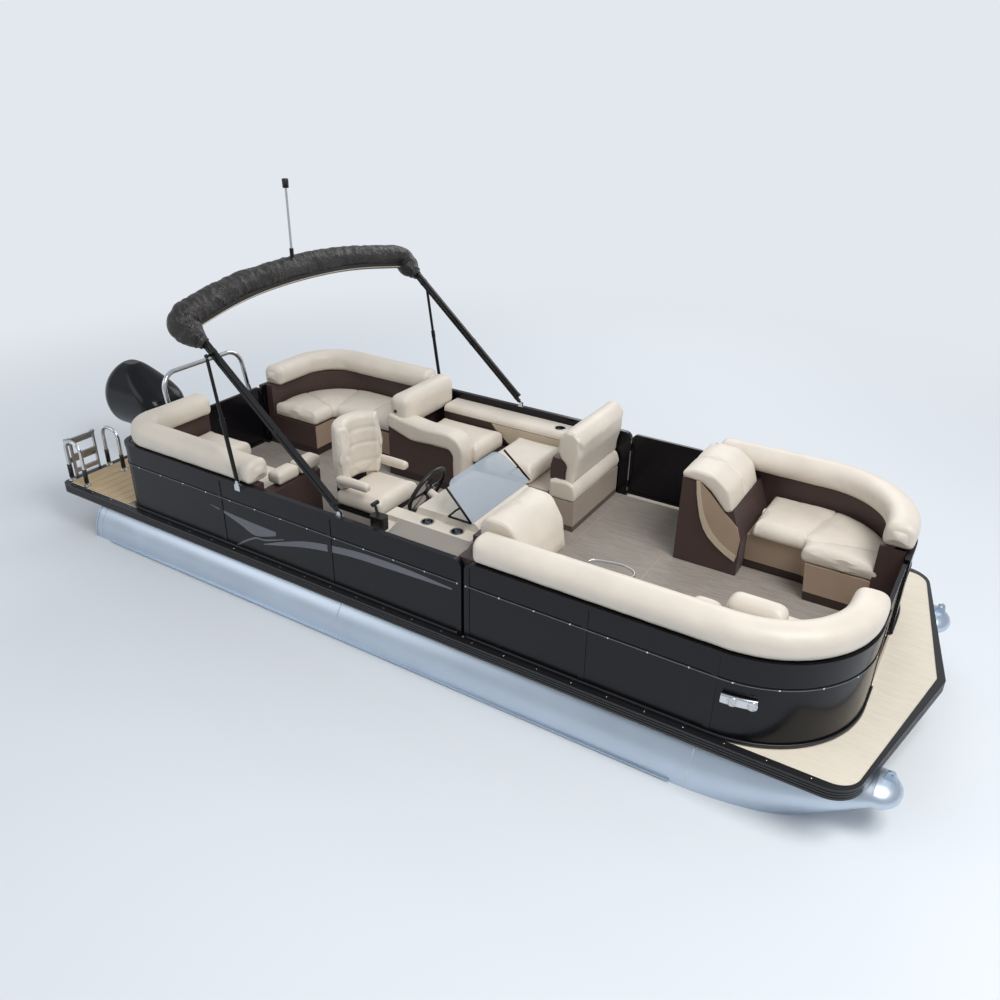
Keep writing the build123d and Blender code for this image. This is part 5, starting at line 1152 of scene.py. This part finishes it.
# Upper and lower edges of the silver stripes on both aft sections, in X and Z
STRIPES = [
    ([(-1.605, 0.749), (-1.450, 0.737), (-1.291, 0.726), (-1.100, 0.719), (-0.926, 0.716)],
     [(-1.600, 0.745), (-1.482, 0.722), (-1.300, 0.668), (-1.143, 0.618), (-0.931, 0.681)]),
    ([(-1.068, 0.572), (-0.850, 0.660), (-0.596, 0.741), (-0.226, 0.799), (0.035, 0.812), (0.285, 0.810),
      (0.618, 0.790)],
     [(-1.066, 0.566), (-0.902, 0.610), (-0.700, 0.664), (-0.507, 0.703), (-0.230, 0.743), (0.116, 0.760),
      (0.618, 0.778)]),
    ([(-1.425, 0.446), (-1.370, 0.470), (-1.260, 0.545), (-1.146, 0.604), (-1.050, 0.616), (-0.854, 0.680)],
     [(-1.423, 0.440), (-1.362, 0.460), (-1.254, 0.532), (-1.140, 0.592), (-1.046, 0.604), (-0.850, 0.674)]),
]
STRIPE_THICK = 0.0012


class BOAT_OT_fence_trim(bpy.types.Operator):
    """Make the screws, the silver strip painted along the middle rail as its highlight, the stripes and the
    base moulding of the fence
    """
    bl_idname = "boat.fence_trim"
    bl_label = "Fence trim"

    def execute(self, context):
        s = context.scene.boat_trim
        runs = [fence_line(0.725, BOW_X, BOW_R, -0.33, -1), fence_line(0.66, STERN_X, 0.15, -0.40, -1),
                fence_line(1.42, BOW_X, BOW_R, -0.33, 1), fence_line(0.73, STERN_X, 0.15, -0.35, 1)]
        half = s.highlight_strip / 2
        # A thin silver strip on the middle rail, standing for the highlight on its upper edge: a painted
        # highlight
        highlight_section = oblong(-0.0012, 0.001, STRIP_Z - half, STRIP_Z + half)
        piece("mid_rail_highlight_strip", [strip(*run, highlight_section) for run in runs], "silver_vinyl", "boat",
              smooth=False)
        base = round_section(oblong(-0.010, 0.002, DECK_Z + 0.0045, DECK_Z + 0.030), 0.008, 16)
        piece("fence_base_moulding", [strip(*run, base) for run in runs], "black_extrusion", "boat")
        paths = [([(*(p - n * 0.0015), STRIP_Z) for p, n in zip(*run)], [(-n[0], -n[1], 0.0) for n in run[1]])
                 for run in runs]
        repeat("fence_screws", paths, "dome", s.screw_step, s.screw, s.screw, s.screw * 0.5, "stainless",
               "boat")
        stripes = [plate([*smooth_line(upper), *smooth_line(lower)[::-1]], y, STRIPE_THICK)
                   for y in (-SKIN_Y - STRIPE_THICK, SKIN_Y) for upper, lower in STRIPES]
        piece("side_stripes", stripes, "silver_vinyl", "boat", smooth=False)
        return {"FINISHED"}


class BOAT_OT_deck_details(bpy.types.Operator):
    """Make the floor's seams, the thresholds, the screws of deck and platform, and the tubes' welds"""
    bl_idname = "boat.deck_details"
    bl_label = "Deck details"

    def execute(self, context):
        s = context.scene.boat_trim
        seams = [block((x - 0.004, y0, DECK_Z), (x + 0.004, y1, DECK_Z + 0.0012))
                 for x, y0, y1 in ((0.745, -0.49, 1.19), (1.400, -0.48, 0.45), (-0.80, -0.05, 0.40))]
        piece("floor_seams", seams, "tan_vinyl", "boat", smooth=False)
        plates = [block((0.765, 1.196, DECK_Z), (1.390, 1.240, DECK_Z + 0.004)),
                  block((3.022, -0.300, DECK_Z), (3.068, 0.300, DECK_Z + 0.004))]
        piece("thresholds", plates, "beige_moulding", "boat", smooth=False)
        # Screws along the flange of the deck's edge, and along the outer planks
        edges = [([(x, y, 0.4445) for x in np.linspace(-3.30, 2.95, 40)], [UP] * 40) for y in (-1.266, 1.266)]
        repeat("deck_edge_screws", edges, "dome", s.screw_step, 0.011, 0.011, 0.004, "stainless", "boat")
        planks = [([(-3.385, y, 0.4465), (-2.64, y, 0.4465)], [UP] * 2) for y in (-0.9, 0.9)]
        repeat("platform_screws", planks, "dome", 0.194, 0.010, 0.010, 0.003, "brushed_stainless", "boat")
        welds = [tube(circle((x, y, 0.020), PORT, UP, 0.3178, 64), 0.0035, 6, closed=True)
                 for y in (-TUBE_Y, TUBE_Y) for x in (-3.05, -0.41, 2.29)]
        piece("tube_welds", welds, "polished_aluminium", "boat")
        return {"FINISHED"}


# Faces of a box whose eight corners go by height, then length, then width
BOX_FACES = [[0, 1, 3, 2], [4, 5, 7, 6], [0, 1, 5, 4], [2, 3, 7, 6], [0, 2, 6, 4], [1, 3, 7, 5]]


class BOAT_OT_helm(bpy.types.Operator):
    """Make the helm's skirt, dash, gauges, switches and windscreen frame, and the wheel's and cups' trims"""
    bl_idname = "boat.helm"
    bl_label = "Helm"

    def execute(self, context):
        # Skirt panel between the rail and the shelf, leaning inboard; it is the console's moulding in a
        # darker copy of its cream, with the shade on its slope painted in
        skirt = [(x, y, z - drop) for drop in (0, 0.004) for x, y, z in (
            (0.004, -1.193, 0.927), (0.588, -1.193, 0.927), (0.588, -0.967, 0.9865), (0.004, -0.967, 0.9865))]
        sides = [[0, 1, 2, 3], [4, 5, 6, 7], [0, 1, 5, 4], [1, 2, 6, 5], [2, 3, 7, 6], [3, 0, 4, 7]]
        piece("console_skirt", [(skirt, sides)], "skirt_moulding", "boat", smooth=False)
        # Dash panel facing the driver, with round gauges and a row of switches
        low, high = np.array([0.005, 0, 0.880]), np.array([0.065, 0, 1.040])
        up = (high - low) / np.linalg.norm(high - low)
        out = np.array([-up[2], 0, up[0]])
        edges = [low + up * h + out * 0.001 for h in (0.02, 0.155)]
        dash = [c + out * d + PORT * y for d in (0, 0.004) for c in edges for y in (-0.82, -0.30)]
        piece("dash_panel", [(dash, BOX_FACES)], "black_plastic", "boat", smooth=False)
        rings = [circle(low + up * 0.09 + out * 0.006 + PORT * y, PORT, up, r, 32)
                 for y, r in ((-0.74, 0.040), (-0.44, 0.028), (-0.35, 0.028))]
        piece("gauge_bezels", [tube(ring, 0.0035, 8, closed=True) for ring in rings], "stainless", "boat")
        faces = [([*ring, *[p + out * 0.002 for p in ring]], loop_faces(2, 32)) for ring in rings]
        piece("gauge_faces", faces, "white_welt", "boat", smooth=False)
        switches = [([low + up * 0.05 + out * 0.006 + PORT * y for y in (-0.69, -0.50)], [out] * 2)]
        repeat("dash_switches", switches, "bar", 0.03, 0.012, 0.018, 0.008, "black_plastic", "boat")
        # Bars at both sides of the windscreen, with their brackets on the dash
        bars = []
        for sign, y in ((-1, -0.858), (1, -0.082)):
            foot, back = (0.512, y, 1.052), (0.330, y, 1.052)
            bars += [tube([foot, (0.40, y - sign * 0.010, 1.160), (0.300, y - sign * 0.020, 1.250)], 0.008,
                          8),
                     tube([foot, (0.40, y, 1.052), back], 0.008, 8),
                     tube([back, (0.385, y - sign * 0.006, 1.110), (0.420, y - sign * 0.008, 1.140)], 0.007,
                          8)]
        piece("windscreen_frame", bars, "black_tube", "boat")
        # Bright spokes and hub cap of the wheel
        tilt = radians(24.0)
        hub = np.array([-0.035, -0.600, 1.040])
        axis = np.array([-cos(tilt), 0.0, sin(tilt)])
        third = np.cross(axis, PORT)
        spokes = []
        for a in radians(90), radians(210), radians(330):
            way, side = third * cos(a) + PORT * sin(a), third * -sin(a) + PORT * cos(a)
            spokes.append(([hub + way * r + side * w + axis * h
                            for h in (0.0015, 0.004) for r in (0.045, 0.168) for w in (-0.011, 0.011)],
                           BOX_FACES))
        cap = dome(hub + axis * 0.002, axis, third, PORT, 0.034, 0.012, 7, 24)
        piece("wheel_spokes", spokes + [cap], "brushed_stainless", "steering_wheel")
        # Perforations round each steel cup
        turns = np.linspace(0, tau, 25)
        inwards = [(-cos(a), -sin(a), 0.0) for a in turns]
        holes = [([(x + 0.0394 * cos(a), y + 0.0394 * sin(a), z - level) for a in turns], inwards)
                 for x, y, z in CUPS for level in (0.012, 0.026, 0.040)]
        repeat("cup_perforations", holes, "disc", 0.0124, 0.006, 0.006, 0.001, "black_plastic", "boat")
        return {"FINISHED"}


class BOAT_OT_hardware(bpy.types.Operator):
    """Make the docking lights' lenses, the ladder's ribs and grips, the pole's cap and a seat's grab rail"""
    bl_idname = "boat.hardware"
    bl_label = "Hardware"

    def execute(self, context):
        s = context.scene.boat_trim
        lenses, rims = [], []
        for sign in (-1, 1):
            centre = np.array([BOW_X - BOW_R, sign * (FENCE_Y - BOW_R), 0.740])
            for a in radians(-73.5), radians(-82.0):
                way = np.array([cos(a), sin(a) * -sign, 0.0])
                side = np.array([-way[1], way[0], 0.0])
                middle = centre + way * 0.7305
                rims.append(tube(circle(middle, side, UP, 0.026, 24), 0.004, 6, closed=True))
                lenses.append(dome(middle, way, side, UP, 0.024, 0.008, 6, 20))
        piece("dock_lenses", lenses, "lamp_lens", "boat")
        piece("dock_rims", rims, "stainless", "boat")
        treads = [([(-3.476, y, z) for y in np.linspace(-1.160, -0.900, 8)], [UP] * 8)
                  for z in (0.606, 0.766)]
        repeat("tread_ribs", treads, "bar", s.rib_step, 0.024, 0.006, 0.004, "black_plastic", "ladder_upper")
        grips = [tube([(x, y, 0.475), (x, y, 0.600)], 0.0185, 12)
                 for y in (-1.215, -0.845) for x in (-3.402, -3.197)]
        piece("ladder_grips", grips, "black_plastic", "boat")
        low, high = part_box("light_pole")
        x, y, top = (low[0] + high[0]) / 2, (low[1] + high[1]) / 2, high[2]
        cap = tube([(x, y, top - 0.062), (x, y, top - 0.001), (x, y, top + 0.003)],
                   [POLE_CAP_R + 0.0015, POLE_CAP_R + 0.003, POLE_CAP_R], 16)
        piece("light_cap", [cap], "black_plastic", "top")
        rail = [(1.250, -0.610, 0.850), (1.262, -0.590, 0.876), (1.300, -0.556, 0.878),
                (1.455, -0.521, 0.878),
                (1.545, -0.540, 0.878), (1.584, -0.585, 0.878), (1.574, -0.640, 0.874),
                (1.560, -0.655, 0.850)]
        piece("seat_grab_rail", [tube(smooth_line(rail, 5), 0.008, 10)], "brushed_stainless", "boat")
        return {"FINISHED"}


class BOAT_PT_panel(bpy.types.Panel):
    """The boat's pieces, their sizes and their colours"""
    bl_idname = "BOAT_PT_panel"
    bl_label = "Pontoon boat"
    bl_space_type = "VIEW_3D"
    bl_region_type = "UI"
    bl_category = "Boat"

    def draw(self, context):
        for group in SETTINGS:
            settings = getattr(context.scene, group)
            for name in settings.__annotations__:
                self.layout.prop(settings, name)
        for maker in MAKERS:
            self.layout.operator(maker.bl_idname)


SETTINGS = {"boat_colours": BoatColours, "boat_upholstery": BoatUpholstery, "boat_trim": BoatTrim,
            "boat_canvas": BoatCanvas}
MAKERS = (BOAT_OT_stage, BOAT_OT_finishes, BOAT_OT_rolls, BOAT_OT_seats, BOAT_OT_chair, BOAT_OT_panels,
          BOAT_OT_canvas, BOAT_OT_fence_trim, BOAT_OT_deck_details, BOAT_OT_helm, BOAT_OT_hardware)
CLASSES = (*SETTINGS.values(), *MAKERS, BOAT_PT_panel)


def register():
    for kind in CLASSES:
        bpy.utils.register_class(kind)
    for name, kind in SETTINGS.items():
        setattr(bpy.types.Scene, name, PointerProperty(type=kind))


def unregister():
    for name in SETTINGS:
        delattr(bpy.types.Scene, name)
    for kind in reversed(CLASSES):
        bpy.utils.unregister_class(kind)


def main():
    register()
    for maker in MAKERS:
        group, name = maker.bl_idname.split(".")
        getattr(getattr(bpy.ops, group), name)()


if __name__ == "__main__":
    main()
